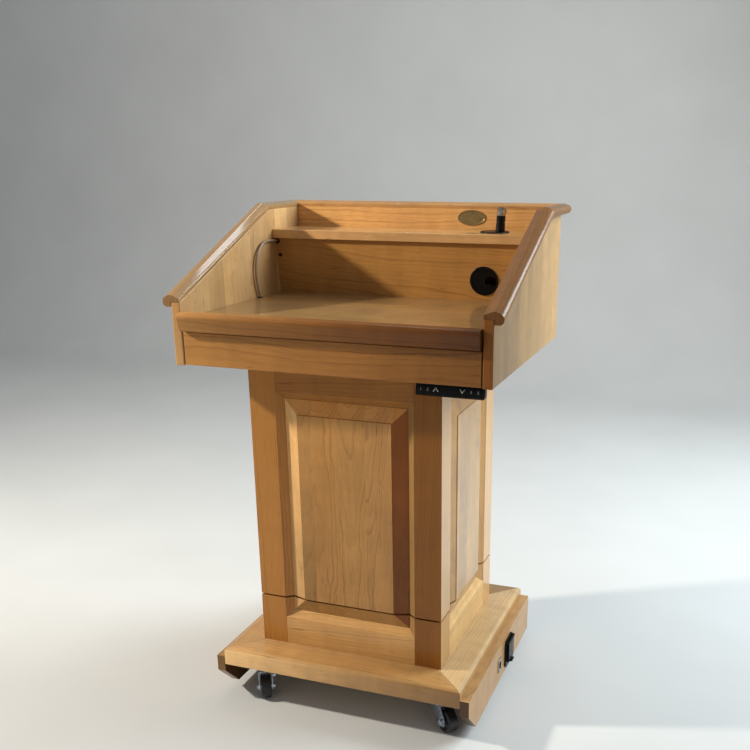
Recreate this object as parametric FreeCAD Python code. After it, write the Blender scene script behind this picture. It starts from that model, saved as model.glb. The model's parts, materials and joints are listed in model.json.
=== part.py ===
# Height-adjustable speaker's podium on casters, drawn at its lowest position.
# Frame: origin on the floor under the middle of the podium, X to the speaker's right,
# Y away from the speaker, Z up. All sizes are in millimetres.
import FreeCAD, Part
import math
import os

V = FreeCAD.Vector

# Driving dimensions: overall
DEPTH = 560.0
BOARD = 19.0
JOINT_LINE = 0.05
FRONT = -DEPTH / 2
BACK = DEPTH / 2

# Driving dimensions: casters
WHEEL_R = 25.0
WHEEL_W = 22.0
CASTER_H = 70.0
CASTER_X = 204.0
CASTER_DY = 188.0
TRAIL = 24.0
AXLE_R = 4.0
AXLE_PLAY = 0.06
KINGPIN_R = 5.0

# Driving dimensions: base, measured about the column's axis
COLUMN_Y = -14.0
SLAB_HALF_X = 264.5
SLAB_HALF_Y = 250.0
SLAB_T = 39.0
SLAB_BOARD_W = 86.0
SLAB_ROUND = 9.0
FLOOR_PANEL_T = 18.0
FLOOR_PANEL_HALF_X = 255.0
FLOOR_PANEL_HALF_Y = 208.0
SKIRT_DROP = 20.5
SKIRT_H = 86.5
SKIRT_CLIP = 51.0

# Driving dimensions: column
COLUMN_W = 406.0
COLUMN_D = 366.0
STILE_W = 57.0
BOTTOM_RAIL_H = 62.0
TOP_RAIL_H = 55.0
STICKING_STEP = 2.0
STICKING_STEP_DEPTH = 2.5
STICKING_W = 15.0
STICKING_DEPTH = 12.0
PANEL_BEVEL_W = 30.0
FIELD_STEP = 2.0
KERF_H = 108.0
KERF_W = 3.5
SLEEVE_HALF_X = 176.0
SLEEVE_HALF_Y = 158.0
SLEEVE_T = 12.0
SLEEVE_TOP = 700.0

# Driving dimensions: lifting column
TUBE_OUTER = 90.0
TUBE_STEP = 8.0
TUBE_WALL = 2.5
PLATE_T = 8.0
FOOT_PLATE = 160.0
HEAD_PLATE_X = 220.0
HEAD_PLATE_Y = 180.0
OUTER_TUBE_TOP = 640.0
MIDDLE_TUBE_Z = (104.0, 690.0)
INNER_TUBE_Z0 = 112.0
MOTOR_R = 28.0
MOTOR_H = 165.0

# Driving dimensions: head
HEAD_BOTTOM = 740.0
HEAD_HALF_X = 319.0
PANEL_FRONT = FRONT + 11.0
PANEL_FRONT_TOP = 861.7
PANEL_TOP = 1015.0
BEND_Y = 103.4
RAIL_OVERHANG = 18.0
HEAD_FLOOR_T = 18.0
DESK_TOP = 831.5
NOSING_D = 22.0
NOSING_LEAN = 10.5
NOSING_RISE = 13.5
NOSING_H = 36.5
RISER_FOOT_Y = 140.0
RISER_LEAN = 17.0
SHELF_FRONT = 112.0
SHELF_TOP = 971.5

# Driving dimensions: drawer
DRAWER_RECESS = 1.0
DRAWER_FRONT_T = 23.0
DRAWER_GAP = 2.0
DRAWER_LENGTH = 400.0
DRAWER_WALL = 12.0
DRAWER_BASE_T = 6.0
SLIDE_T = 6.0
SLIDE_GAP = 0.5
SLIDE_H = 25.0

# Driving dimensions: cable fittings
GROMMET_R = 31.0
GROMMET_BORE_R = 27.0
GROMMET_SLEEVE_R = 28.5
GROMMET_LIP = 2.5
GROMMET_DEPTH = 17.0
CAP_PLAY = 0.3
SLOT_W = 18.4
SLOT_OFFSET = 11.5
RISER_GROMMET = (186.0, 874.0)
SHELF_GROMMET = (197.0, 171.0)
CONNECTOR_LEAN = 3.0
LEAD_R = 2.75
LEAD_X = -294.0
LEAD_ROUTE = [
    (130.0, 946.0), (110.0, 947.0), (87.0, 949.5), (64.0, 948.0), (43.0, 938.5), (28.0, 921.5),
    (20.5, 900.0), (19.5, 878.0), (23.5, 858.0), (30.0, 841.5), (32.5, 826.0),
]

# Driving dimensions: keypad and skirt sockets
KEYPAD_X = (174.0, 303.0)
KEYPAD_H = 21.5
KEY_SIZE = (11.0, 12.0)
KEY_PROUD = 0.6
KEY_T = 2.0
KEY_TRAVEL = 0.8
KEY_CENTRES = {
    "key_1": 184.0, "key_2": 197.0, "key_up": 212.5, "key_down": 261.5, "key_3": 277.5, "key_set": 291.0,
}
SOCKET_Z = 63.0
INLET_Y = 41.0
JACK_Y = -31.0

# Heights and planes worked out from the driving dimensions
SLAB_BOTTOM = CASTER_H + FLOOR_PANEL_T
SLAB_TOP = SLAB_BOTTOM + SLAB_T
SKIRT_TOP = SLAB_TOP - SKIRT_DROP
SKIRT_BOTTOM = SKIRT_TOP - SKIRT_H
SKIRT_OUTER = SLAB_HALF_X + BOARD
HEAD_INNER = HEAD_HALF_X - BOARD
BACK_OUTER = BACK - RAIL_OVERHANG
BACK_INNER = BACK_OUTER - BOARD
SHELF_BOTTOM = SHELF_TOP - BOARD
NOSING_TOP = DESK_TOP + NOSING_RISE
NOSING_BOTTOM = NOSING_TOP - NOSING_H
DESK_FRONT = FRONT + NOSING_D
DRAWER_FACE = PANEL_FRONT + DRAWER_RECESS
KERF_BOTTOM = SLAB_TOP + KERF_H - KERF_W / 2
KERF_TOP = SLAB_TOP + KERF_H + KERF_W / 2
HUGE = 3000.0
TOLERANCE = 0.01
BITE = 1.0


def box(x0, x1, y0, y1, z0, z1):
    return Part.makeBox(x1 - x0, y1 - y0, z1 - z0, V(x0, y0, z0))


def rod(start, direction, radius, length):
    return Part.makeCylinder(radius, length, V(*start), V(*direction))


def prism(points, travel):
    wire = Part.makePolygon(points + [points[0]])
    return Part.Face(wire).extrude(travel)


def prism_x(yz_points, x0, x1):
    return prism([V(x0, y, z) for y, z in yz_points], V(x1 - x0, 0, 0))


def prism_y(xz_points, y0, y1):
    return prism([V(x, y0, z) for x, z in xz_points], V(0, y1 - y0, 0))


def prism_z(xy_points, z0, z1):
    return prism([V(x, y, z0) for x, y in xy_points], V(0, 0, z1 - z0))


def half_space(point, normal):
    """A large block that fills the side of a plane that its normal points to."""
    block = Part.makeBox(HUGE, HUGE, HUGE, V(-HUGE / 2, -HUGE / 2, 0))
    block.Placement = FreeCAD.Placement(point, FreeCAD.Rotation(V(0, 0, 1), normal))
    return block


def round_edges(shape, radius, wanted):
    """Round the edges whose middle point passes the test."""
    edges = [edge for edge in shape.Edges if wanted(edge.CenterOfMass)]
    return shape.makeFillet(radius, edges)


def near(value, target):
    return abs(value - target) < TOLERANCE


def turned(shape, angle, centre):
    copy = shape.copy()
    copy.rotate(centre, V(0, 0, 1), angle)
    return copy


def placed(shape, origin, normal):
    """Stand a shape drawn about the Z axis on a plane, keeping its X along the podium's X."""
    copy = shape.copy()
    copy.Placement = FreeCAD.Placement(origin, FreeCAD.Rotation(V(1, 0, 0), V(), normal, "ZXY"))
    return copy


def save(node, *shapes):
    """Write one node; a node of several pieces keeps them as separate solids."""
    solids = [solid for shape in shapes for solid in shape.Solids]
    shape = solids[0] if len(solids) == 1 else Part.makeCompound(solids)
    if not shape.isValid():
        raise ValueError(node + " is not a valid shape")
    shape.exportStep("parts/" + node + ".step")
    print(node, len(solids), round(shape.Volume))


# Base slab: four mitred boards with a rounded top edge


def slab_board(half_length, half_reach):
    """One board in front of the column's axis: its outer edge faces -Y."""
    outer_length = half_length - JOINT_LINE
    inner_length = outer_length - SLAB_BOARD_W
    inner_reach = half_reach - SLAB_BOARD_W
    outline = [(-outer_length, -half_reach), (outer_length, -half_reach),
               (inner_length, -inner_reach), (-inner_length, -inner_reach)]
    board = prism_z(outline, SLAB_BOTTOM, SLAB_TOP)
    return round_edges(board, SLAB_ROUND, lambda c: near(c.y, -half_reach) and near(c.z, SLAB_TOP))


def around_column(front_piece, side_piece):
    """Copy a front and a side piece to all four faces, about the column's axis."""
    centre = V(0, 0, 0)
    pieces = [front_piece, turned(side_piece, 90, centre), turned(front_piece, 180, centre),
              turned(side_piece, 270, centre)]
    for piece in pieces:
        piece.translate(V(0, COLUMN_Y, 0))
    return pieces


def make_base():
    boards = around_column(slab_board(SLAB_HALF_X, SLAB_HALF_Y), slab_board(SLAB_HALF_Y, SLAB_HALF_X))
    save("base_boards", *boards)
    floor_panel = box(-FLOOR_PANEL_HALF_X, FLOOR_PANEL_HALF_X, COLUMN_Y - FLOOR_PANEL_HALF_Y,
                      COLUMN_Y + FLOOR_PANEL_HALF_Y, CASTER_H, SLAB_BOTTOM)
    save("base_floor_panel", floor_panel)


def skirt(side):
    front = COLUMN_Y - SLAB_HALF_Y
    back = COLUMN_Y + SLAB_HALF_Y
    outline = [(front, SKIRT_TOP), (front, SKIRT_BOTTOM + SKIRT_CLIP), (front + SKIRT_CLIP, SKIRT_BOTTOM),
               (back, SKIRT_BOTTOM), (back, SKIRT_TOP)]
    return prism_x(outline, side * SLAB_HALF_X, side * SKIRT_OUTER)


# Column: stile-and-rail frames with raised panels, sawn through near the foot


def frame_rectangle(half_width, inset, depth, half_reach):
    """Outline of the panel opening, drawn in by an inset, at a depth below the frame's face."""
    half = half_width - STILE_W - inset
    low = SLAB_TOP + BOTTOM_RAIL_H + inset
    high = HEAD_BOTTOM - TOP_RAIL_H - inset
    y = -half_reach + depth
    corners = [V(-half, y, low), V(half, y, low), V(half, y, high), V(-half, y, high)]
    return Part.makePolygon(corners + [corners[0]])


def taper(half_width, half_reach, inset_a, depth_a, inset_b, depth_b):
    """Four-sided block between two of those outlines."""
    ends = [frame_rectangle(half_width, inset_a, depth_a, half_reach),
            frame_rectangle(half_width, inset_b, depth_b, half_reach)]
    return Part.makeLoft(ends, True, True)


def frame_pieces(half_width, half_reach):
    """Two stiles and two rails of the frame that faces -Y, mitred at the column's corners."""
    outer = half_width - JOINT_LINE
    outline = [(-outer, -half_reach), (outer, -half_reach),
               (outer - BOARD, BOARD - half_reach), (BOARD - outer, BOARD - half_reach)]
    plate = prism_z(outline, SLAB_TOP, HEAD_BOTTOM)
    plate = plate.cut(taper(half_width, half_reach, 0, 0, STICKING_STEP, STICKING_STEP_DEPTH))
    plate = plate.cut(taper(half_width, half_reach, STICKING_STEP, STICKING_STEP_DEPTH,
                            STICKING_W, STICKING_DEPTH))
    plate = plate.cut(taper(half_width, half_reach, STICKING_W, STICKING_DEPTH, STICKING_W, BOARD))
    opening = half_width - STILE_W
    inner = opening - STICKING_W
    low = SLAB_TOP + BOTTOM_RAIL_H
    high = HEAD_BOTTOM - TOP_RAIL_H
    front = -half_reach
    back = BOARD - half_reach
    left_half = [(-half_width, SLAB_TOP), (-opening, SLAB_TOP), (-opening, low),
                 (-inner, low + STICKING_W), (-inner, high - STICKING_W), (-opening, high),
                 (-opening, HEAD_BOTTOM), (-half_width, HEAD_BOTTOM)]
    right_half = [(-x, z) for x, z in left_half]
    shoulder = opening - JOINT_LINE
    toe = inner - JOINT_LINE
    bottom = [(-shoulder, SLAB_TOP), (shoulder, SLAB_TOP), (shoulder, low), (toe, low + STICKING_W),
              (-toe, low + STICKING_W), (-shoulder, low)]
    top = [(-shoulder, HEAD_BOTTOM), (shoulder, HEAD_BOTTOM), (shoulder, high), (toe, high - STICKING_W),
           (-toe, high - STICKING_W), (-shoulder, high)]
    stiles = [plate.common(prism_y(half, front, back)) for half in (left_half, right_half)]
    rails = [plate.common(prism_y(rail, front, back)) for rail in (bottom, top)]
    return stiles, rails


def raised_panel(half_width, half_reach):
    back_slab = taper(half_width, half_reach, STICKING_W, STICKING_DEPTH, STICKING_W, BOARD)
    field_inset = STICKING_W + PANEL_BEVEL_W
    bevel = taper(half_width, half_reach, field_inset, FIELD_STEP, STICKING_W, STICKING_DEPTH)
    field = taper(half_width, half_reach, field_inset, 0, field_inset, FIELD_STEP)
    return back_slab.fuse([bevel, field]).removeSplitter()


def below_kerf(pieces):
    zone = box(-HUGE, HUGE, -HUGE, HUGE, 0, KERF_BOTTOM)
    return [piece.common(zone) for piece in pieces]


def above_kerf(pieces):
    zone = box(-HUGE, HUGE, -HUGE, HUGE, KERF_TOP, HUGE)
    return [piece.common(zone) for piece in pieces]


def make_column():
    half_x = COLUMN_W / 2
    half_y = COLUMN_D / 2
    front_stiles, front_rails = frame_pieces(half_x, half_y)
    side_stiles, side_rails = frame_pieces(half_y, half_x)
    stiles = []
    for front_stile, side_stile in zip(front_stiles, side_stiles):
        stiles += around_column(front_stile, side_stile)
    bottom_rails = around_column(front_rails[0], side_rails[0])
    top_rails = around_column(front_rails[1], side_rails[1])
    panels = around_column(raised_panel(half_x, half_y), raised_panel(half_y, half_x))
    save("plinth_frame", *below_kerf(stiles), *bottom_rails)
    save("plinth_panels", *below_kerf(panels))
    save("column_stiles", *above_kerf(stiles))
    save("column_top_rails", *top_rails)
    upper_panels = above_kerf(panels)
    save("panels_front_rear", upper_panels[0], upper_panels[2])
    save("panels_sides", upper_panels[1], upper_panels[3])


def make_sleeve():
    y0 = COLUMN_Y - SLEEVE_HALF_Y
    y1 = COLUMN_Y + SLEEVE_HALF_Y
    x1 = SLEEVE_HALF_X
    front = box(-x1, x1, y0, y0 + SLEEVE_T, SLAB_BOTTOM, SLEEVE_TOP)
    rear = box(-x1, x1, y1 - SLEEVE_T, y1, SLAB_BOTTOM, SLEEVE_TOP)
    inset = SLEEVE_T + JOINT_LINE
    left = box(-x1, SLEEVE_T - x1, y0 + inset, y1 - inset, SLAB_BOTTOM, SLEEVE_TOP)
    right = box(x1 - SLEEVE_T, x1, y0 + inset, y1 - inset, SLAB_BOTTOM, SLEEVE_TOP)
    save("inner_sleeve", front, rear, left, right)


# Lifting column: three square tubes, a plate at each end and the motor in the top tube


def square_tube(width, z0, z1):
    half = width / 2
    hole = half - TUBE_WALL
    outer = box(-half, half, COLUMN_Y - half, COLUMN_Y + half, z0, z1)
    return outer.cut(box(-hole, hole, COLUMN_Y - hole, COLUMN_Y + hole, z0, z1))


def make_lift():
    foot_top = SLAB_BOTTOM + PLATE_T
    foot = box(-FOOT_PLATE / 2, FOOT_PLATE / 2, COLUMN_Y - FOOT_PLATE / 2, COLUMN_Y + FOOT_PLATE / 2,
               SLAB_BOTTOM, foot_top)
    save("lift_outer_tube", foot.fuse(square_tube(TUBE_OUTER, foot_top, OUTER_TUBE_TOP)).removeSplitter())
    save("lift_middle_tube", square_tube(TUBE_OUTER - TUBE_STEP, *MIDDLE_TUBE_Z))
    plate_bottom = HEAD_BOTTOM - PLATE_T
    plate = box(-HEAD_PLATE_X / 2, HEAD_PLATE_X / 2, COLUMN_Y - HEAD_PLATE_Y / 2, COLUMN_Y + HEAD_PLATE_Y / 2,
                plate_bottom, HEAD_BOTTOM)
    inner = square_tube(TUBE_OUTER - 2 * TUBE_STEP, INNER_TUBE_Z0, plate_bottom)
    save("lift_inner_tube", plate.fuse(inner).removeSplitter())
    save("lift_motor", rod((0, COLUMN_Y, plate_bottom - MOTOR_H), (0, 0, 1), MOTOR_R, MOTOR_H))


# Casters: top plate with race, swivelling fork with axle, wheel, and a side brake at the front

CASTER_PLATE_HALF = (32.0, 30.0)
CASTER_PLATE_T = 2.5
CASTER_PLATE_CORNER_R = 6.0
SCREW_AT = (25.0, 12.0)
SCREW_HEAD_R = 4.0
SCREW_HEAD_H = 2.5
RACE_R = 19.0
RACE_H = 9.5
RACE_GAP = 0.3
KINGPIN_GAP = 1.0
FORK_GAP = 13.0
FORK_T = 2.5
FORK_TOP = CASTER_H - CASTER_PLATE_T - RACE_H - RACE_GAP
FORK_CROWN_HALF = 20.0
FORK_CROWN_T = 3.2
FORK_REAR_Z = 46.0
FORK_LEG_END = [(34.0, 33.0), (34.0, 21.0), (28.0, 15.5), (20.0, 15.5), (9.0, 28.0)]
PEDAL_Z = 46.5
PEDAL_X = (-7.0, 15.0)
PEDAL_Y = 19.5
PEDAL_REACH = 45.0
PEDAL_T = 5.0
PEDAL_KNUCKLE_R = 3.5
PEDAL_PIN_R = 1.5
PEDAL_CORNER_R = 4.0
EAR_T = 3.5
EAR_GAP = 0.5
EAR_HALF = 3.0
NUT_R = 6.5
NUT_T = 4.5
TYRE_ROUND = 3.5
DISH_R = 18.0
DISH_DEPTH = 3.0
HUB_R = 9.0


def caster_plate():
    half_x, half_y = CASTER_PLATE_HALF
    plate = box(-half_x, half_x, -half_y, half_y, CASTER_H - CASTER_PLATE_T, CASTER_H)
    plate = round_edges(plate, CASTER_PLATE_CORNER_R, lambda c: (
        near(abs(c.x), half_x) and near(abs(c.y), half_y)))
    race_bottom = CASTER_H - CASTER_PLATE_T - RACE_H
    race = rod((0, 0, race_bottom), (0, 0, 1), RACE_R, RACE_H)
    bore = rod((0, 0, race_bottom), (0, 0, 1), KINGPIN_R + AXLE_PLAY, RACE_H)
    return plate.fuse(race).removeSplitter().cut(bore)


def caster_screws():
    heads = []
    bottom = CASTER_H - CASTER_PLATE_T - SCREW_HEAD_H
    for side_x in (-1, 1):
        for side_y in (-1, 1):
            start = (side_x * SCREW_AT[0], side_y * SCREW_AT[1], bottom)
            heads.append(rod(start, (0, 0, 1), SCREW_HEAD_R, SCREW_HEAD_H))
    return heads


def caster_fork(with_brake):
    half = FORK_CROWN_HALF
    leg_outline = [(-half, FORK_TOP), (half, FORK_TOP)] + FORK_LEG_END + [(-half, FORK_REAR_Z)]
    outer = FORK_GAP + FORK_T
    fork = box(-half, half, -outer, outer, FORK_TOP - FORK_CROWN_T, FORK_TOP)
    fork = fork.fuse([prism_y(leg_outline, FORK_GAP, outer), prism_y(leg_outline, -outer, -FORK_GAP),
                      rod((0, 0, FORK_TOP), (0, 0, 1), KINGPIN_R, RACE_H - KINGPIN_GAP)])
    axle = rod((TRAIL, -outer - NUT_T, WHEEL_R), (0, 1, 0), AXLE_R, 2 * (outer + NUT_T))
    for y in (-outer - NUT_T, outer):
        axle = axle.fuse(rod((TRAIL, y, WHEEL_R), (0, 1, 0), NUT_R, NUT_T))
    fork = fork.fuse(axle)
    if with_brake:
        for x in (PEDAL_X[0] - EAR_GAP - EAR_T, PEDAL_X[1] + EAR_GAP):
            ear = box(x, x + EAR_T, outer, PEDAL_Y + EAR_HALF, PEDAL_Z - EAR_HALF, PEDAL_Z + EAR_HALF)
            fork = fork.fuse(ear)
        pin_length = PEDAL_X[1] - PEDAL_X[0] + 2 * (EAR_GAP + EAR_T)
        pin_start = (PEDAL_X[0] - EAR_GAP - EAR_T, PEDAL_Y, PEDAL_Z)
        fork = fork.fuse(rod(pin_start, (1, 0, 0), PEDAL_PIN_R, pin_length))
    return fork.removeSplitter()


def caster_wheel():
    start = (TRAIL, -WHEEL_W / 2, WHEEL_R)
    wheel = rod(start, (0, 1, 0), WHEEL_R, WHEEL_W)
    wheel = round_edges(wheel, TYRE_ROUND, lambda c: near(abs(c.y), WHEEL_W / 2))
    for side in (-1, 1):
        dish = rod((TRAIL, side * WHEEL_W / 2, WHEEL_R), (0, -side, 0), DISH_R, DISH_DEPTH)
        hub = rod((TRAIL, side * WHEEL_W / 2, WHEEL_R), (0, -side, 0), HUB_R, DISH_DEPTH)
        wheel = wheel.cut(dish.cut(hub))
    return wheel.cut(rod(start, (0, 1, 0), AXLE_R + AXLE_PLAY, WHEEL_W))


def brake_pedal():
    x0, x1 = PEDAL_X
    knuckle = rod((x0, PEDAL_Y, PEDAL_Z), (1, 0, 0), PEDAL_KNUCKLE_R, x1 - x0)
    half = PEDAL_T / 2
    paddle = box(x0, x1, PEDAL_Y, PEDAL_REACH, PEDAL_Z - half, PEDAL_Z + half)
    paddle = round_edges(paddle, PEDAL_CORNER_R, lambda c: near(c.y, PEDAL_REACH) and near(c.z, PEDAL_Z))
    pedal = knuckle.fuse(paddle).removeSplitter()
    return pedal.cut(rod((x0, PEDAL_Y, PEDAL_Z), (1, 0, 0), PEDAL_PIN_R + AXLE_PLAY, x1 - x0))


CASTERS = {
    "front_left": (-1, -1, -59.6), "front_right": (1, -1, -35.0),
    "rear_left": (-1, 1, -72.0), "rear_right": (1, 1, -51.0),
}


def make_casters():
    plates = []
    screws = []
    for name, (side_x, side_y, angle) in CASTERS.items():
        spot = V(side_x * CASTER_X, COLUMN_Y + side_y * CASTER_DY, 0)
        brake = side_y < 0

        def stand(shape, turn):
            copy = turned(shape, turn, V(0, 0, 0))
            copy.translate(spot)
            return copy

        plates.append(stand(caster_plate(), 0))
        screws += [stand(screw, 0) for screw in caster_screws()]
        save("fork_" + name, stand(caster_fork(brake), angle))
        save("wheel_" + name, stand(caster_wheel(), angle))
        if brake:
            save("brake_pedal_" + name, stand(brake_pedal(), angle))
    save("caster_plates", *plates)
    save("caster_screws", *screws)


# Sockets in the right skirt: power inlet with a flap, and a panel connector

INLET_HALF_Y = 29.0
INLET_HALF_Z = 33.0
INLET_PLATE_T = 4.0
INLET_CORNER_R = 9.0
INLET_HOLE_PLAY = 0.5
INLET_BODY_R = 22.0
INLET_BORE_R = 18.0
INLET_BODY_L = 26.0
INLET_BORE_L = 22.0
BLADE_L = 15.0
BLADE_HALF_T = 1.0
BLADE_HALF_H = 3.0
BLADE_SPOTS = [(-6.5, 4.0), (6.5, 4.0), (0.0, -6.5)]
LID_HALF_Y = 21.0
LID_T = 4.5
LID_CORNER_R = 8.0
LID_LIP = 4.5
LID_LIP_HALF = 9.0
LID_LIP_H = 3.0
LID_KNUCKLE_R = 3.0
LID_GAP = 0.4
LID_AXIS_X = SKIRT_OUTER + INLET_PLATE_T + LID_KNUCKLE_R + LID_GAP
LID_AXIS_Z = SOCKET_Z + 27.0
LID_BOTTOM = SOCKET_Z - 24.0
LID_PIN_R = 1.5
LID_EAR_T = 4.0
LID_EAR_OUT = 2.0
LID_EAR_HALF = 2.5
JACK_HALF_Y = 13.0
JACK_HALF_Z = 15.5
JACK_PLATE_T = 2.0
JACK_CORNER_R = 3.5
JACK_BODY_R = 11.8
JACK_BORE_R = 8.6
JACK_BORE_L = 14.0
JACK_BODY_L = 20.0
JACK_HOLE_PLAY = 0.2
JACK_PIN_CIRCLE = 4.2
JACK_PIN_R = 1.2
JACK_PIN_L = 11.0
JACK_SCREW_AT = (9.5, 12.0)
JACK_SCREW_R = 2.6
JACK_SCREW_H = 1.2
THREE_PINS = (90.0, 210.0, 330.0)


def inlet_body():
    face = SKIRT_OUTER + INLET_PLATE_T
    plate = box(SKIRT_OUTER, face, INLET_Y - INLET_HALF_Y, INLET_Y + INLET_HALF_Y,
                SOCKET_Z - INLET_HALF_Z, SOCKET_Z + INLET_HALF_Z)
    mid_x = (SKIRT_OUTER + face) / 2
    plate = round_edges(plate, INLET_CORNER_R, lambda c: near(c.x, mid_x))
    body = plate.fuse(rod((SKIRT_OUTER, INLET_Y, SOCKET_Z), (-1, 0, 0), INLET_BODY_R, INLET_BODY_L))
    for y in (INLET_Y - LID_HALF_Y - LID_GAP - LID_EAR_T, INLET_Y + LID_HALF_Y + LID_GAP):
        body = body.fuse(box(face - BITE, LID_AXIS_X + LID_EAR_OUT, y, y + LID_EAR_T,
                             LID_AXIS_Z - LID_EAR_HALF, LID_AXIS_Z + LID_EAR_HALF))
    pin_half = LID_HALF_Y + LID_GAP + LID_EAR_T
    body = body.fuse(rod((LID_AXIS_X, INLET_Y - pin_half, LID_AXIS_Z), (0, 1, 0), LID_PIN_R, 2 * pin_half))
    bore = rod((face, INLET_Y, SOCKET_Z), (-1, 0, 0), INLET_BORE_R, INLET_PLATE_T + INLET_BORE_L)
    body = body.cut(bore)
    floor_x = SKIRT_OUTER - INLET_BORE_L
    for y, z in BLADE_SPOTS:
        blade = box(floor_x - BITE, floor_x + BLADE_L, -BLADE_HALF_T, BLADE_HALF_T,
                    -BLADE_HALF_H, BLADE_HALF_H)
        blade.translate(V(0, INLET_Y + y, SOCKET_Z + z))
        body = body.fuse(blade)
    return body.removeSplitter()


def inlet_lid():
    x0 = LID_AXIS_X - LID_KNUCKLE_R
    flap = box(x0, x0 + LID_T, INLET_Y - LID_HALF_Y, INLET_Y + LID_HALF_Y, LID_BOTTOM, LID_AXIS_Z)
    flap = round_edges(flap, LID_CORNER_R, lambda c: near(c.z, LID_BOTTOM) and near(c.x, x0 + LID_T / 2))
    lip = box(x0 + LID_T, x0 + LID_T + LID_LIP, INLET_Y - LID_LIP_HALF, INLET_Y + LID_LIP_HALF,
              LID_BOTTOM, LID_BOTTOM + LID_LIP_H)
    knuckle = rod((LID_AXIS_X, INLET_Y - LID_HALF_Y, LID_AXIS_Z), (0, 1, 0), LID_KNUCKLE_R, 2 * LID_HALF_Y)
    lid = flap.fuse([lip, knuckle]).removeSplitter()
    return lid.cut(rod((LID_AXIS_X, INLET_Y - LID_HALF_Y, LID_AXIS_Z), (0, 1, 0), LID_PIN_R + AXLE_PLAY,
                       2 * LID_HALF_Y))


def jack_pieces():
    face = SKIRT_OUTER + JACK_PLATE_T
    plate = box(SKIRT_OUTER, face, JACK_Y - JACK_HALF_Y, JACK_Y + JACK_HALF_Y,
                SOCKET_Z - JACK_HALF_Z, SOCKET_Z + JACK_HALF_Z)
    plate = round_edges(plate, JACK_CORNER_R, lambda c: near(c.x, (SKIRT_OUTER + face) / 2))
    shell = plate.fuse(rod((SKIRT_OUTER, JACK_Y, SOCKET_Z), (-1, 0, 0), JACK_BODY_R, JACK_BODY_L))
    shell = shell.cut(rod((face, JACK_Y, SOCKET_Z), (-1, 0, 0), JACK_BORE_R, JACK_PLATE_T + JACK_BORE_L))
    floor_x = SKIRT_OUTER - JACK_BORE_L
    for turn in THREE_PINS:
        y = JACK_Y + JACK_PIN_CIRCLE * math.cos(math.radians(turn))
        z = SOCKET_Z + JACK_PIN_CIRCLE * math.sin(math.radians(turn))
        shell = shell.fuse(rod((floor_x - BITE, y, z), (1, 0, 0), JACK_PIN_R, JACK_PIN_L))
    screws = []
    for side in (-1, 1):
        spot = (face, JACK_Y + side * JACK_SCREW_AT[0], SOCKET_Z - side * JACK_SCREW_AT[1])
        screws.append(rod(spot, (1, 0, 0), JACK_SCREW_R, JACK_SCREW_H))
    return [shell.removeSplitter()] + screws


def make_skirts():
    save("skirt_left", skirt(-1))
    right = skirt(1)
    right = right.cut(rod((SLAB_HALF_X, INLET_Y, SOCKET_Z), (1, 0, 0), INLET_BODY_R + INLET_HOLE_PLAY, BOARD))
    right = right.cut(rod((SLAB_HALF_X, JACK_Y, SOCKET_Z), (1, 0, 0), JACK_BODY_R + JACK_HOLE_PLAY, BOARD))
    save("skirt_right", right)
    save("power_inlet_body", inlet_body())
    save("power_inlet_lid", inlet_lid())
    save("xlr_jack", *jack_pieces())


# Head: panels, desk, riser and shelf

RISER_H = SHELF_BOTTOM - DESK_TOP
RISER_LENGTH = math.hypot(RISER_LEAN, RISER_H)
RISER_NORMAL = V(0, -RISER_H / RISER_LENGTH, -RISER_LEAN / RISER_LENGTH)
RISER_SCREW_X = 290.0
RISER_SCREW_Z = 915.0
RISER_SCREW_L = 15.0
RISER_SCREW_R = 2.0
RISER_SCREW_HEAD_R = 4.0
RISER_SCREW_HEAD_H = 1.8
CUT_START = 5.0
NOSING_END_GAP = 1.5
NOSING_TOP_ROUND = 8.0
NOSING_LOW_ROUND = 5.0
NOSING_REAR_ROUND = 4.0
SHELF_ROUND = 2.5
HEAD_FLOOR_GAP = 1.0
LEAD_RISER_DROP = 0.25
LEAD_DESK_SHIFT = 0.6
CONTROL_BOX_HALF_X = 130.0
CONTROL_BOX_Y = (175.0, 235.0)
CONTROL_BOX_H = 45.0
BUSH_R = 5.6
BUSH_BORE_R = 3.7
BUSH_SLEEVE_R = 4.6
BUSH_LIP = 1.5
BUSH_DEPTH = 12.0


def riser_point(x, z):
    """A point of the riser's front face."""
    return V(x, RISER_FOOT_Y - RISER_LEAN * (z - DESK_TOP) / RISER_H, z)


def side_panel(side):
    outline = [(PANEL_FRONT, HEAD_BOTTOM), (PANEL_FRONT, PANEL_FRONT_TOP), (BEND_Y, PANEL_TOP),
               (BACK_OUTER, PANEL_TOP), (BACK_OUTER, HEAD_BOTTOM)]
    return prism_x(outline, side * HEAD_INNER, side * HEAD_HALF_X)


def nosing():
    """The strip along the desk's front edge, whose face leans out over the drawer towards the top."""
    half = HEAD_INNER - NOSING_END_GAP
    nose = FRONT - NOSING_LEAN
    outline = [(DESK_FRONT, NOSING_BOTTOM), (FRONT, NOSING_BOTTOM), (nose, NOSING_TOP),
               (DESK_FRONT, NOSING_TOP)]
    strip = prism_x(outline, -half, half)
    strip = round_edges(strip, NOSING_TOP_ROUND, lambda c: near(c.y, nose) and near(c.z, NOSING_TOP))
    strip = round_edges(strip, NOSING_LOW_ROUND, lambda c: near(c.y, FRONT) and near(c.z, NOSING_BOTTOM))
    return round_edges(strip, NOSING_REAR_ROUND, lambda c: near(c.y, DESK_FRONT) and near(c.z, NOSING_TOP))


def riser_lead_point():
    return riser_point(LEAD_X, LEAD_ROUTE[0][1] - LEAD_RISER_DROP)


def desk_lead_point():
    return V(LEAD_X, LEAD_ROUTE[-1][0] - LEAD_DESK_SHIFT, DESK_TOP)


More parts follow.
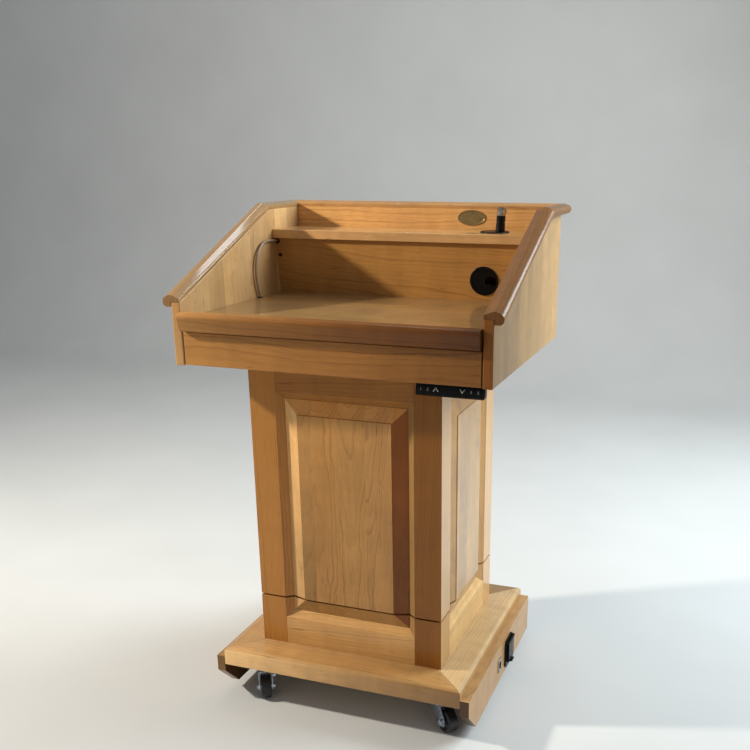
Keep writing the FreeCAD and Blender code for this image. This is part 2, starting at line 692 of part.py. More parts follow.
def make_head_boards():
    floor_front = DRAWER_FACE + DRAWER_FRONT_T + HEAD_FLOOR_GAP
    save("head_floor", box(-HEAD_INNER, HEAD_INNER, floor_front, BACK_INNER, HEAD_BOTTOM,
                           HEAD_BOTTOM + HEAD_FLOOR_T))
    save("side_panel_left", side_panel(-1))
    save("side_panel_right", side_panel(1))
    save("back_panel", box(-HEAD_INNER, HEAD_INNER, BACK_INNER, BACK_OUTER, HEAD_BOTTOM, PANEL_TOP))
    desk = box(-HEAD_INNER, HEAD_INNER, DESK_FRONT, BACK_INNER, DESK_TOP - BOARD, DESK_TOP)
    hole = desk_lead_point()
    desk = desk.cut(rod((hole.x, hole.y, DESK_TOP - BOARD), (0, 0, 1), BUSH_SLEEVE_R, BOARD))
    save("desk_top", desk)
    save("desk_nosing", nosing())
    save("shelf", make_shelf())
    save("riser_panel", make_riser())
    save("riser_screws", *[riser_screw(side) for side in (-1, 1)])
    save("control_box", box(-CONTROL_BOX_HALF_X, CONTROL_BOX_HALF_X, *CONTROL_BOX_Y, DESK_TOP,
                            DESK_TOP + CONTROL_BOX_H))


def make_shelf():
    shelf = box(-HEAD_INNER, HEAD_INNER, SHELF_FRONT, BACK_INNER, SHELF_BOTTOM, SHELF_TOP)
    shelf = round_edges(shelf, SHELF_ROUND, lambda c: near(c.y, SHELF_FRONT) and near(c.z, SHELF_TOP))
    x, y = SHELF_GROMMET
    return shelf.cut(rod((x, y, SHELF_BOTTOM), (0, 0, 1), GROMMET_SLEEVE_R, BOARD))


def make_riser():
    back_shift = BOARD * RISER_LENGTH / RISER_H
    top_y = RISER_FOOT_Y - RISER_LEAN
    outline = [(RISER_FOOT_Y, DESK_TOP), (top_y, SHELF_BOTTOM), (top_y + back_shift, SHELF_BOTTOM),
               (RISER_FOOT_Y + back_shift, DESK_TOP)]
    riser = prism_x(outline, -HEAD_INNER, HEAD_INNER)
    inward = RISER_NORMAL * -1.0
    grommet = riser_point(*RISER_GROMMET)
    riser = riser.cut(Part.makeCylinder(GROMMET_SLEEVE_R, 2 * BOARD, grommet - inward * CUT_START, inward))
    lead = riser_lead_point()
    riser = riser.cut(Part.makeCylinder(BUSH_SLEEVE_R, 2 * BOARD, lead - inward * CUT_START, inward))
    for side in (-1, 1):
        spot = riser_point(side * RISER_SCREW_X, RISER_SCREW_Z)
        riser = riser.cut(Part.makeCylinder(RISER_SCREW_R, RISER_SCREW_L, spot, inward))
    return riser


def riser_screw(side):
    spot = riser_point(side * RISER_SCREW_X, RISER_SCREW_Z)
    head = Part.makeCylinder(RISER_SCREW_HEAD_R, RISER_SCREW_HEAD_H, spot, RISER_NORMAL)
    shank = Part.makeCylinder(RISER_SCREW_R, RISER_SCREW_L, spot, RISER_NORMAL * -1.0)
    return head.fuse(shank)


# Cap rails: one moulding along the sides and the back, mitred at the corners and the bends

RAIL_HEEL = V(0, 0, 0)
RAIL_EDGE = (V(0, 5.0, 0), V(0.9, 7.3, 0), V(3.0, 8.2, 0))
RAIL_CREST = (V(14.0, 12.0, 0), V(22.5, 13.0, 0), V(30.0, 10.0, 0))
RAIL_NOSE = V(RAIL_OVERHANG + BOARD, 1.2, 0)
RAIL_LIP = V(30.5, -8.0, 0)
RAIL_HOOK_X = BOARD + 0.6


def rail_profile():
    """Section of the cap rail: x is outward from the panel's inner face, y is up from its top edge."""
    hook_low = V(RAIL_HOOK_X, RAIL_LIP.y, 0)
    hook_top = V(RAIL_HOOK_X, 0, 0)
    return [
        Part.LineSegment(RAIL_HEEL, RAIL_EDGE[0]).toShape(),
        Part.Arc(*RAIL_EDGE).toShape(),
        Part.LineSegment(RAIL_EDGE[2], RAIL_CREST[0]).toShape(),
        Part.Arc(*RAIL_CREST).toShape(),
        Part.Arc(RAIL_CREST[2], RAIL_NOSE, RAIL_LIP).toShape(),
        Part.LineSegment(RAIL_LIP, hook_low).toShape(),
        Part.LineSegment(hook_low, hook_top).toShape(),
        Part.LineSegment(hook_top, RAIL_HEEL).toShape(),
    ]


def rail_run(origin, outward, along):
    """A long straight length of the moulding through a point, both ways along its run."""
    face = Part.Face(Part.Wire(rail_profile()))
    up = along.cross(outward)
    if up.z < 0:
        up = up * -1.0
    matrix = FreeCAD.Matrix(outward.x, up.x, along.x, origin.x, outward.y, up.y, along.y, origin.y,
                            outward.z, up.z, along.z, origin.z, 0, 0, 0, 1)
    section = face.transformGeometry(matrix)
    section.translate(along * -HUGE / 4)
    return section.extrude(along * (HUGE / 2))


def side_rail(side):
    slope = math.atan2(PANEL_TOP - PANEL_FRONT_TOP, BEND_Y - PANEL_FRONT)
    outward = V(side, 0, 0)
    bend = V(side * HEAD_INNER, BEND_Y, PANEL_TOP)
    uphill = V(0, math.cos(slope), math.sin(slope))
    bisector = V(0, math.cos(slope / 2), math.sin(slope / 2))
    sloped = rail_run(bend, outward, uphill).common(half_space(bend - bisector * JOINT_LINE, bisector * -1.0))
    sloped = sloped.common(half_space(V(0, PANEL_FRONT, 0), V(0, 1, 0)))
    corner = V(side * HEAD_INNER, BACK_INNER - JOINT_LINE, PANEL_TOP)
    level = rail_run(bend, outward, V(0, 1, 0)).common(half_space(bend, bisector))
    level = level.common(half_space(corner, V(side, -1, 0)))
    return [sloped, level]


def back_rail():
    rail = rail_run(V(0, BACK_INNER, PANEL_TOP), V(0, 1, 0), V(1, 0, 0))
    for side in (-1, 1):
        corner = V(side * HEAD_INNER, BACK_INNER, PANEL_TOP)
        rail = rail.common(half_space(corner, V(-side, 1, 0)))
    return rail


def make_cap_rails():
    save("cap_rails", *side_rail(-1), *side_rail(1), back_rail())


# Drawer on side slides under the desk

SLIDE_Z = 774.0
SLIDE_SETBACK = 4.0
SLIDE_FRONT = DRAWER_FACE + DRAWER_FRONT_T + SLIDE_SETBACK
SLIDE_INNER_INSET = 2.0
DRAWER_LOW_GAP = 2.0
DRAWER_TOP_GAP = 2.5
DRAWER_ROUND = 1.5
DRAWER_LIFT = 4.0
DRAWER_BOX_TOP = 802.5
DRAWER_FRONT_Z = (HEAD_BOTTOM + DRAWER_LOW_GAP, NOSING_BOTTOM - DRAWER_TOP_GAP)
DRAWER_BOX_Z = (HEAD_BOTTOM + HEAD_FLOOR_T + DRAWER_LIFT, DRAWER_BOX_TOP)


def make_drawer():
    half = HEAD_INNER - DRAWER_GAP
    front = box(-half, half, DRAWER_FACE, DRAWER_FACE + DRAWER_FRONT_T, *DRAWER_FRONT_Z)
    save("drawer_front", round_edges(front, DRAWER_ROUND, lambda c: near(c.y, DRAWER_FACE)))
    x1 = HEAD_INNER - 2 * SLIDE_T - SLIDE_GAP
    y0 = DRAWER_FACE + DRAWER_FRONT_T
    y1 = y0 + DRAWER_LENGTH
    z0, z1 = DRAWER_BOX_Z
    sides = [box(-x1, DRAWER_WALL - x1, y0, y1, z0, z1), box(x1 - DRAWER_WALL, x1, y0, y1, z0, z1)]
    inner = x1 - DRAWER_WALL - JOINT_LINE
    back = box(-inner, inner, y1 - DRAWER_WALL, y1, z0, z1)
    bottom = box(-inner, inner, y0, y1 - DRAWER_WALL - JOINT_LINE, z0, z0 + DRAWER_BASE_T)
    save("drawer_box", *sides, back, bottom)
    outers = []
    inners = []
    for side in (-1, 1):
        wall = side * HEAD_INNER
        split = side * (HEAD_INNER - SLIDE_T)
        inner_face = side * (HEAD_INNER - SLIDE_T - SLIDE_GAP)
        box_face = side * x1
        outers.append(box(min(wall, split), max(wall, split), SLIDE_FRONT, y1, SLIDE_Z, SLIDE_Z + SLIDE_H))
        inners.append(box(min(inner_face, box_face), max(inner_face, box_face), SLIDE_FRONT, y1,
                          SLIDE_Z + SLIDE_INNER_INSET, SLIDE_Z + SLIDE_H - SLIDE_INNER_INSET))
    save("slide_outers", *outers)
    save("slide_inners", *inners)


# Keypad under the head's front right: a bar with a tilted face and six keys

KEYPAD_TOP_Y = -258.0
KEYPAD_LOW_Y = -263.5
KEYPAD_LIP = 3.5
KEYPAD_LOW_Z = HEAD_BOTTOM - KEYPAD_H + KEYPAD_LIP
KEYPAD_REAR_Y = -248.0
KEYPAD_REAR_CHAMFER = 6.0
KEYPAD_CORNER_R = 4.0
FLANGE_X = (190.0, 287.0)
FLANGE_REAR_Y = -215.0
FLANGE_T = 3.5
KEY_DROP = 9.0
FACE_DIRECTION = V(0, KEYPAD_LOW_Y - KEYPAD_TOP_Y, KEYPAD_LOW_Z - HEAD_BOTTOM).normalize()
FACE_NORMAL = V(0, FACE_DIRECTION.z, -FACE_DIRECTION.y)


def key_block(x, width, height, low, high):
    """A block on the keypad's face, between two distances out from the face."""
    block = box(-width / 2, width / 2, -height / 2, height / 2, low, high)
    centre = V(x, KEYPAD_TOP_Y, HEAD_BOTTOM) + FACE_DIRECTION * KEY_DROP
    return placed(block, centre, FACE_NORMAL)


def make_keypad():
    low = HEAD_BOTTOM - KEYPAD_H
    outline = [(KEYPAD_TOP_Y, HEAD_BOTTOM), (KEYPAD_LOW_Y, KEYPAD_LOW_Z), (KEYPAD_LOW_Y + KEYPAD_LIP, low),
               (KEYPAD_REAR_Y - KEYPAD_REAR_CHAMFER, low), (KEYPAD_REAR_Y, low + KEYPAD_REAR_CHAMFER),
               (KEYPAD_REAR_Y, HEAD_BOTTOM)]
    case = prism_x(outline, *KEYPAD_X)
    case = round_edges(case, KEYPAD_CORNER_R, lambda c: near(c.z, low) and (
        near(c.x, KEYPAD_X[0]) or near(c.x, KEYPAD_X[1])))
    flange = box(*FLANGE_X, KEYPAD_REAR_Y - BITE, FLANGE_REAR_Y, HEAD_BOTTOM - FLANGE_T, HEAD_BOTTOM)
    case = case.fuse(flange).removeSplitter()
    width, height = KEY_SIZE
    room = 2 * CAP_PLAY
    pocket_floor = KEY_PROUD - KEY_T - KEY_TRAVEL - CAP_PLAY
    for name, x in KEY_CENTRES.items():
        case = case.cut(key_block(x, width + room, height + room, pocket_floor, CUT_START))
        save(name, key_block(x, width, height, KEY_PROUD - KEY_T, KEY_PROUD))
    save("keypad_case", case)


# Cable grommets, the connector that stands in one of them, and the lead on the left wall

FLANGE_ROUND = 1.2
RING_LEDGE = 2.0
CAP_T = 3.6


def grommet_ring():
    flange = rod((0, 0, 0), (0, 0, 1), GROMMET_R, GROMMET_LIP)
    flange = round_edges(flange, FLANGE_ROUND, lambda c: near(c.z, GROMMET_LIP))
    sleeve = rod((0, 0, -GROMMET_DEPTH), (0, 0, 1), GROMMET_SLEEVE_R, GROMMET_DEPTH)
    ring = flange.fuse(sleeve).removeSplitter()
    height = GROMMET_DEPTH + GROMMET_LIP
    ring = ring.cut(rod((0, 0, -GROMMET_DEPTH), (0, 0, 1), GROMMET_BORE_R - RING_LEDGE, height))
    return ring.cut(rod((0, 0, -RING_LEDGE), (0, 0, 1), GROMMET_BORE_R, GROMMET_DEPTH))


def grommet_cap():
    cap = rod((0, 0, CAP_PLAY - RING_LEDGE), (0, 0, 1), GROMMET_BORE_R - CAP_PLAY, CAP_T)
    slot = rod((SLOT_OFFSET, 0, -CUT_START), (0, 0, 1), SLOT_W / 2, 2 * CUT_START)
    slot = slot.fuse(box(SLOT_OFFSET, GROMMET_BORE_R + BITE, -SLOT_W / 2, SLOT_W / 2, -CUT_START, CUT_START))
    return cap.cut(slot)


CAP_FACE = CAP_PLAY - RING_LEDGE + CAP_T
BOOT_GAP = 0.5
BOOT_R = 10.1
BOOT_TAPER = 0.8
BOOT_H = 18.0
GROOVE_DEPTH = 1.2
GROOVE_H = 1.5
STUB_R = 7.5
STUB_H = 22.0
COLLAR_R = 9.4
COLLAR_H = 13.0
SHELL_R = 9.5
SHELL_H = 16.0
SHELL_BORE_R = 7.8
SHELL_BORE_H = 13.0
INSERT_DROP = 2.0
INSERT_GAP = 2.4
CONTACT_CIRCLE = 3.2
CONTACT_R = 1.2
LATCH_RISE = 5.0
LATCH_SIZE = (2.2, 5.0, 7.0)
LATCH_PROUD = 1.4


def on_connector(shape):
    """Move a shape drawn about its own Z axis to the connector's place, leaning to the right."""
    copy = shape.copy()
    copy.rotate(V(0, 0, 0), V(0, 1, 0), CONNECTOR_LEAN)
    x, y = SHELF_GROMMET
    copy.translate(V(x + SLOT_OFFSET, y, SHELF_TOP + CAP_FACE + BOOT_GAP))
    return copy


def make_connector():
    boot = Part.makeCone(BOOT_R, BOOT_R - BOOT_TAPER, BOOT_H)
    boot = boot.fuse(rod((0, 0, -STUB_H), (0, 0, 1), STUB_R, STUB_H))
    boot = boot.fuse(rod((0, 0, BOOT_H), (0, 0, 1), COLLAR_R - GROOVE_DEPTH, GROOVE_H))
    collar_z = BOOT_H + GROOVE_H
    boot = boot.fuse(rod((0, 0, collar_z), (0, 0, 1), COLLAR_R, COLLAR_H)).removeSplitter()
    save("connector_boot", on_connector(boot))
    shell_z = collar_z + COLLAR_H
    shell = rod((0, 0, shell_z), (0, 0, 1), SHELL_R, SHELL_H)
    shell = shell.cut(rod((0, 0, shell_z + SHELL_H - SHELL_BORE_H), (0, 0, 1), SHELL_BORE_R, SHELL_BORE_H))
    insert_h = SHELL_BORE_H - INSERT_DROP
    insert = rod((0, 0, shell_z + SHELL_H - SHELL_BORE_H), (0, 0, 1), SHELL_BORE_R - INSERT_GAP, insert_h)
    for turn in THREE_PINS:
        x = CONTACT_CIRCLE * math.cos(math.radians(turn))
        y = CONTACT_CIRCLE * math.sin(math.radians(turn))
        insert = insert.cut(rod((x, y, shell_z), (0, 0, 1), CONTACT_R, SHELL_H))
    depth, width, height = LATCH_SIZE
    latch_z = shell_z + LATCH_RISE
    latch_x = SHELL_R + LATCH_PROUD - depth
    pocket = box(SHELL_BORE_R - BITE, SHELL_R + BITE, -width / 2 - CAP_PLAY, width / 2 + CAP_PLAY,
                 latch_z - CAP_PLAY, latch_z + height + CAP_PLAY)
    save("connector_shell", on_connector(shell.fuse(insert).cut(pocket)))
    latch = box(latch_x, latch_x + depth, -width / 2, width / 2, latch_z, latch_z + height)
    save("connector_latch", on_connector(latch))


def make_grommets():
    x, y = SHELF_GROMMET
    shelf_spot = V(x, y, SHELF_TOP)
    riser_spot = riser_point(*RISER_GROMMET)
    up = V(0, 0, 1)
    riser_ring = placed(grommet_ring(), riser_spot, RISER_NORMAL)
    shelf_ring = placed(grommet_ring(), shelf_spot, up)
    save("grommet_rings", riser_ring, shelf_ring)
    save("grommet_cap_riser", placed(grommet_cap(), riser_spot, RISER_NORMAL))
    save("grommet_cap_shelf", placed(grommet_cap(), shelf_spot, up))


def lead_bush():
    lip = rod((0, 0, 0), (0, 0, 1), BUSH_R, BUSH_LIP)
    bush = lip.fuse(rod((0, 0, -BUSH_DEPTH), (0, 0, 1), BUSH_SLEEVE_R, BUSH_DEPTH)).removeSplitter()
    return bush.cut(rod((0, 0, -BUSH_DEPTH), (0, 0, 1), BUSH_BORE_R, BUSH_DEPTH + BUSH_LIP))

ARC_SHARE = 0.45


def lead_path(points):
    """Straight runs joined by tangent arcs as large as the runs allow."""
    edges = []
    start = points[0]
    radii = []
    for before, corner, after in zip(points, points[1:], points[2:]):
        back = (before - corner).normalize()
        ahead = (after - corner).normalize()
        half_turn = (math.pi - back.getAngle(ahead)) / 2
        reach = ARC_SHARE * min((before - corner).Length, (after - corner).Length)
        radius = reach / math.tan(half_turn)
        middle = (back + ahead).normalize() * (radius / math.cos(half_turn) - radius)
        enter = corner + back * reach
        leave = corner + ahead * reach
        edges.append(Part.LineSegment(start, enter).toShape())
        edges.append(Part.Arc(enter, corner + middle, leave).toShape())
        radii.append(round(radius, 1))
        start = leave
    edges.append(Part.LineSegment(start, points[-1]).toShape())
    return Part.Wire(edges), radii


def make_lead():
    points = [V(LEAD_X, y, z) for y, z in LEAD_ROUTE]
    path, radii = lead_path(points)
    first = path.Edges[0]
    section = Part.Wire(Part.makeCircle(LEAD_R, points[0], points[1] - points[0]))
    lead = path.makePipeShell([section], True, True)
    expected = math.pi * LEAD_R ** 2 * path.Length
    print("lead radii", radii, "first run", round(first.Length, 1))
    print("lead volume", round(lead.Volume), "section times length", round(expected))
    save("control_lead", lead)
    save("lead_bushes", placed(lead_bush(), riser_lead_point(), RISER_NORMAL),
         placed(lead_bush(), desk_lead_point(), V(0, 0, 1)))


def main():
    os.makedirs("parts", exist_ok=True)
    make_base()
    make_skirts()
    make_column()
    make_sleeve()
    make_lift()
    make_casters()
    make_head_boards()
    make_cap_rails()
    make_drawer()
    make_keypad()
    make_grommets()
    make_connector()
    make_lead()


main()
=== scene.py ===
# %% [markdown]
# # A speaker's podium in cherry
# The boards, fittings and casters of this podium come from a CAD model as bare solids. This lesson
# turns them into something you would want to touch: boards with eased edges and grain that follows
# each plank, black fittings with a fine texture, plated metal, and a soft light that shows it all.
# We load the solids first.

import json
import math
import random

import bmesh
import bpy
from mathutils import Matrix, Vector


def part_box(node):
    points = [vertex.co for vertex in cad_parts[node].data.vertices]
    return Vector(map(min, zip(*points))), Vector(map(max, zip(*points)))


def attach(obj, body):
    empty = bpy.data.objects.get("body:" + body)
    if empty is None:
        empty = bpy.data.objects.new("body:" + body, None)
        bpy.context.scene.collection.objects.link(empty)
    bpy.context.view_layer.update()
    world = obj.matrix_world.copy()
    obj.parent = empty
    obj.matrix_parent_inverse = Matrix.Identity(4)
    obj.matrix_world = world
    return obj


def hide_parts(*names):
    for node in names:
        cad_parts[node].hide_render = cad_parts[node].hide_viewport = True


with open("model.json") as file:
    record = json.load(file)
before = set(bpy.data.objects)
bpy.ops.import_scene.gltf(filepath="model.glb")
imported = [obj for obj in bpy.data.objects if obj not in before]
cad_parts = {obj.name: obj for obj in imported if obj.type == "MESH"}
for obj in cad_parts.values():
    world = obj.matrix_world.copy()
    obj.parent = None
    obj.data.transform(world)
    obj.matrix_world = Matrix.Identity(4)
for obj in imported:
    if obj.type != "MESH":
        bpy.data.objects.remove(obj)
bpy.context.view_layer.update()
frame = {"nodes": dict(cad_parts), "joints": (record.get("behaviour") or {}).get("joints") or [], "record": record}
scene = bpy.context.scene
scene.view_settings.view_transform = "Standard"
MM = 0.001
record = frame["record"]
BODY_OF = {node: body for body, nodes in record["behaviour"]["bodies"].items() for node in nodes}
JOINTS = {joint["name"]: joint for joint in frame["joints"]}

# %% [markdown]
# ## The camera
# The photograph was taken from the right front, a little above the desk. A camera is three axes: to
# its right, up, and back towards the viewer. We work them out from two angles and a hair of roll, and
# put them into one matrix. The shift slides the frame without turning the view, as cropping does.

# %% Set the camera
CAMERA_PLACE = Vector((732.0, -1795.7, 1125.6)) * MM
CAMERA_AZIMUTH = math.radians(19.52)
CAMERA_ELEVATION = math.radians(18.53)
CAMERA_ROLL = math.radians(-0.14)
CAMERA_SENSOR = 36.0
CAMERA_LENS = 44.85
CAMERA_SHIFT = (-0.0641, 0.1253)

back = Vector((math.sin(CAMERA_AZIMUTH) * math.cos(CAMERA_ELEVATION),
               -math.cos(CAMERA_AZIMUTH) * math.cos(CAMERA_ELEVATION), math.sin(CAMERA_ELEVATION)))
level_right = Vector((math.cos(CAMERA_AZIMUTH), math.sin(CAMERA_AZIMUTH), 0.0))
level_up = back.cross(level_right)
right = level_right * math.cos(CAMERA_ROLL) + level_up * math.sin(CAMERA_ROLL)
up = back.cross(right)
camera_data = bpy.data.cameras.new("camera")
camera_data.sensor_width = CAMERA_SENSOR
camera_data.lens = CAMERA_LENS
camera_data.shift_x, camera_data.shift_y = CAMERA_SHIFT
camera = bpy.data.objects.new("camera", camera_data)
turned = Matrix((right, up, back)).transposed().to_4x4()
camera.matrix_world = Matrix.Translation(CAMERA_PLACE) @ turned
scene.collection.objects.link(camera)
scene.camera = camera
print("camera at", [round(value, 3) for value in CAMERA_PLACE])

# %% [markdown]
# ## A bench for shader nodes
# A finish is a graph of nodes, and written out one by one a graph gets long. This small helper places
# a node, sets or links its inputs, and returns the socket that the next node needs. An input may be a
# plain value or the output of another node. A noise seldom leaves the middle of its range, so a shade
# that follows one is spread over that middle.

# %% Shader helpers
NOISE_RANGE = (0.3, 0.7)


class Bench:
    """Places and links the nodes of one shader tree."""

    def __init__(self, tree):
        self.tree = tree

    def put(self, socket, value):
        if isinstance(value, bpy.types.NodeSocket):
            self.tree.links.new(value, socket)
        else:
            socket.default_value = value

    def add(self, kind, values=None, **settings):
        node = self.tree.nodes.new(kind)
        for name, value in settings.items():
            setattr(node, name, value)
        for name, value in (values or {}).items():
            self.put(node.inputs[name], value)
        return node

    def calc(self, operation, first, second=0.0, third=0.0):
        node = self.add("ShaderNodeMath", operation=operation)
        for socket, value in zip(node.inputs, (first, second, third)):
            self.put(socket, value)
        return node.outputs[0]

    def mix(self, factor, first, second):
        """Mix two colours. The node has sockets for each kind of data, so they are taken by number."""
        node = self.add("ShaderNodeMix", data_type="RGBA")
        for index, value in ((0, factor), (6, first), (7, second)):
            self.put(node.inputs[index], value)
        return node.outputs[2]

    def stretch(self, vector, scale):
        node = self.add("ShaderNodeVectorMath", operation="MULTIPLY")
        self.put(node.inputs[0], vector)
        self.put(node.inputs[1], scale)
        return node.outputs[0]

    def noise(self, vector, scale=1.0, detail=2.0):
        values = {"Vector": vector, "Scale": scale, "Detail": detail}
        return self.add("ShaderNodeTexNoise", values).outputs[0]

    def lottery(self, number):
        """Random values that stay the same for the same number."""
        return self.add("ShaderNodeTexWhiteNoise", {"W": number}, noise_dimensions="1D").outputs

    def remap(self, value, low, high, new_low=0.0, new_high=1.0):
        values = {"Value": value, "From Min": low, "From Max": high,
                  "To Min": new_low, "To Max": new_high}
        return self.add("ShaderNodeMapRange", values).outputs[0]


def new_group(name, inputs, outputs):
    """A shader node group with named sockets, and the bench to fill it."""
    group = bpy.data.node_groups.new(name, "ShaderNodeTree")
    for label, kind, default in inputs:
        socket = group.interface.new_socket(name=label, in_out="INPUT",
                                            socket_type="NodeSocket" + kind)
        if default is not None:
            socket.default_value = default
    for label, kind in outputs:
        group.interface.new_socket(name=label, in_out="OUTPUT", socket_type="NodeSocket" + kind)
    bench = Bench(group)
    return group, bench, bench.add("NodeGroupInput").outputs, bench.add("NodeGroupOutput").inputs


def new_material(name):
    """An empty material with one Principled shader."""
    material = bpy.data.materials.new(name)
    material.use_nodes = True
    bench = Bench(material.node_tree)
    shader = material.node_tree.nodes["Principled BSDF"]
    return material, bench, shader


def set_surface(bench, shader, colour, roughness):
    """Link a colour and a roughness that change over the surface."""
    bench.put(shader.inputs["Base Color"], colour)
    bench.put(shader.inputs["Roughness"], roughness)


def raise_bump(bench, shader, height, strength, depth_mm):
    """Let a height raise and sink the surface."""
    values = {"Height": height, "Strength": strength, "Distance": depth_mm * MM}
    bump = bench.add("ShaderNodeBump", values)
    bench.put(shader.inputs["Normal"], bump.outputs["Normal"])


print("shader bench ready")

# %% [markdown]
# ## The lead
# One short lead comes out of the riser at the left, bows out over the desk and goes down through a
# bush, on its way to the keypad. It is the only soft thing here. A curve is the right tool: a handful of
# points that a smooth spline passes near, with a round profile. The points are the route of the real
# lead, so the curve lies where the solid tube lies.

# %% Make the lead
LEAD_X = -294.0
LEAD_ROUTE = ((130.0, 946.0), (110.0, 947.0), (87.0, 949.5), (64.0, 948.0), (43.0, 938.5), (28.0, 921.5),
              (20.5, 900.0), (19.5, 878.0), (23.5, 858.0), (30.0, 841.5), (32.5, 826.0))
LEAD_DIAMETER = 5.5 * MM
LEAD_TINTS = ((0.26, 0.175, 0.115, 1.0), (0.34, 0.24, 0.165, 1.0))


def make_lead_sheath():
    material, m, shader = new_material("lead_sheath")
    place = m.add("ShaderNodeTexCoord").outputs["Object"]
    mottle = m.noise(place, 180.0, 3.0)
    worn = m.remap(m.noise(place, 900.0), *NOISE_RANGE, 0.20, 0.32)
    set_surface(m, shader, m.mix(mottle, *LEAD_TINTS), worn)
    raise_bump(m, shader, m.noise(place, 1400.0, 1.0), 0.06, 0.1)
    return material


def make_lead():
    curve = bpy.data.curves.new("control_lead_dressed", "CURVE")
    curve.dimensions = "3D"
    curve.bevel_depth = LEAD_DIAMETER / 2
    curve.bevel_resolution = 6
    curve.resolution_u = 10
    curve.use_fill_caps = True
    spline = curve.splines.new("NURBS")
    spline.points.add(len(LEAD_ROUTE) - 1)
    for point, (y, z) in zip(spline.points, LEAD_ROUTE):
        point.co = (LEAD_X * MM, y * MM, z * MM, 1.0)
    spline.order_u = 3
    spline.use_endpoint_u = True
    curve.materials.append(make_lead_sheath())
    lead = bpy.data.objects.new("control_lead_dressed", curve)
    scene.collection.objects.link(lead)
    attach(lead, BODY_OF["control_lead"])
    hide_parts("control_lead")


make_lead()

# %% [markdown]
# ## Cherry
# A board is a slice of a trunk. Its pattern is where the yearly rings, which are nearly round tubes
# about the pith, meet the sawn face: arches where the saw ran beside the pith, straight lines where it
# ran across the rings. A flat picture of wood can't turn a corner, so we rebuild the trunk instead.
# Every board carries its own coordinates in the attribute "grain": across, through and along the
# plank. The group below measures the distance to the pith there, wobbles it, and cuts it into rings.
# Wide panels are glued from staves, so it also counts staves and gives each its own piece of trunk.

# %% The cherry figure, as a node group
FIGURE_INPUTS = [
    ("Grain", "Vector", None), ("Seed", "Float", 0.0), ("Tone", "Float", 1.0), ("Age", "Float", 1.0),
    ("Lines", "Float", 0.7), ("Stave width", "Float", 0.06), ("Ring width", "Float", 0.004),
    ("Pith depth", "Float", 0.05), ("Pith aside", "Float", 0.0), ("Curl", "Float", 0.06),
    ("Cloud", "Float", 0.08), ("Early wood", "Color", (0.53, 0.27, 0.085, 1.0)),
    ("Late wood", "Color", (0.21, 0.080, 0.018, 1.0)),
]
SURFACE_OUTPUTS = [("Colour", "Color"), ("Roughness", "Float"), ("Height", "Float")]
KNOT_CELLS = (15.0, 15.0, 7.0)
KNOT_LOTS = (0.90, 0.91)
KNOT_REACH = 0.36
KNOT_CORE = 0.045
KNOT_PULL = 0.03
WIDEST_DRIFT = 70.0 * MM
RING_TILT = 0.13
SLOW_WANDER = ((8.0, 8.0, 2.4), 1.0, 0.036)
QUICK_WANDER = ((40.0, 40.0, 14.0), 3.0, 0.008)
LATE_STRENGTH = (0.25, 1.4)
FIBRE_SCALE = (800.0, 800.0, 15.0)
STREAK_SCALE = (70.0, 70.0, 3.0)
CLOUD_SCALE = (9.0, 9.0, 4.0)
CURL_SCALE = (12.0, 12.0, 30.0)
PORE_SCALE = (1200.0, 1200.0, 55.0)
GUM_SCALE = (240.0, 240.0, 20.0)
GUM_TINT = (0.09, 0.034, 0.012, 1.0)
PORE_TINT = (0.18, 0.075, 0.024, 1.0)
KNOT_TINT = (0.045, 0.017, 0.008, 1.0)


def place_in_trunk(g, given):
    """Where a point lies in its stave's own trunk, with three random numbers for the stave."""
    across, through, along = g.add("ShaderNodeSeparateXYZ", {"Vector": given["Grain"]}).outputs
    counted = g.calc("ADD", g.calc("DIVIDE", across, given["Stave width"]), given["Seed"])
    stave = g.calc("FLOOR", counted)
    from_middle = g.calc("SUBTRACT", g.calc("FRACT", counted), 0.5)
    inside = g.calc("MULTIPLY", from_middle, given["Stave width"])
    lot = g.lottery(g.calc("MULTIPLY_ADD", given["Seed"], 31.7, stave))["Color"]
    lots = g.add("ShaderNodeSeparateColor", {"Color": lot}).outputs
    reach_of_saw = g.calc("MINIMUM", given["Stave width"], WIDEST_DRIFT)
    drift = g.calc("MULTIPLY", g.calc("SUBTRACT", lots[0], 0.5), reach_of_saw)
    aside = g.calc("ADD", g.calc("ADD", inside, drift), given["Pith aside"])
    below = g.calc("MULTIPLY_ADD", given["Pith depth"], g.calc("ADD", lots[1], 0.5), through)
    start = g.calc("MULTIPLY_ADD", lots[2], 5.0, g.calc("MULTIPLY", given["Seed"], 3.0))
    shifted = g.calc("ADD", along, start)
    trunk = g.add("ShaderNodeCombineXYZ", {"X": aside, "Y": below, "Z": shifted}).outputs[0]
    reach = g.calc("SQRT", g.calc("ADD", g.calc("POWER", aside, 2.0), g.calc("POWER", below, 2.0)))
    tilt = g.calc("MULTIPLY", g.calc("MULTIPLY", along, g.calc("SUBTRACT", lots[1], 0.5)), RING_TILT)
    return trunk, g.calc("ADD", reach, tilt), stave, lots


def sway_of(g, trunk, scale, detail, amount):
    """A smooth wander of the rings, to and fro about nothing."""
    wave = g.noise(g.stretch(trunk, scale), detail=detail)
    return g.calc("MULTIPLY", g.calc("SUBTRACT", wave, 0.5), amount)


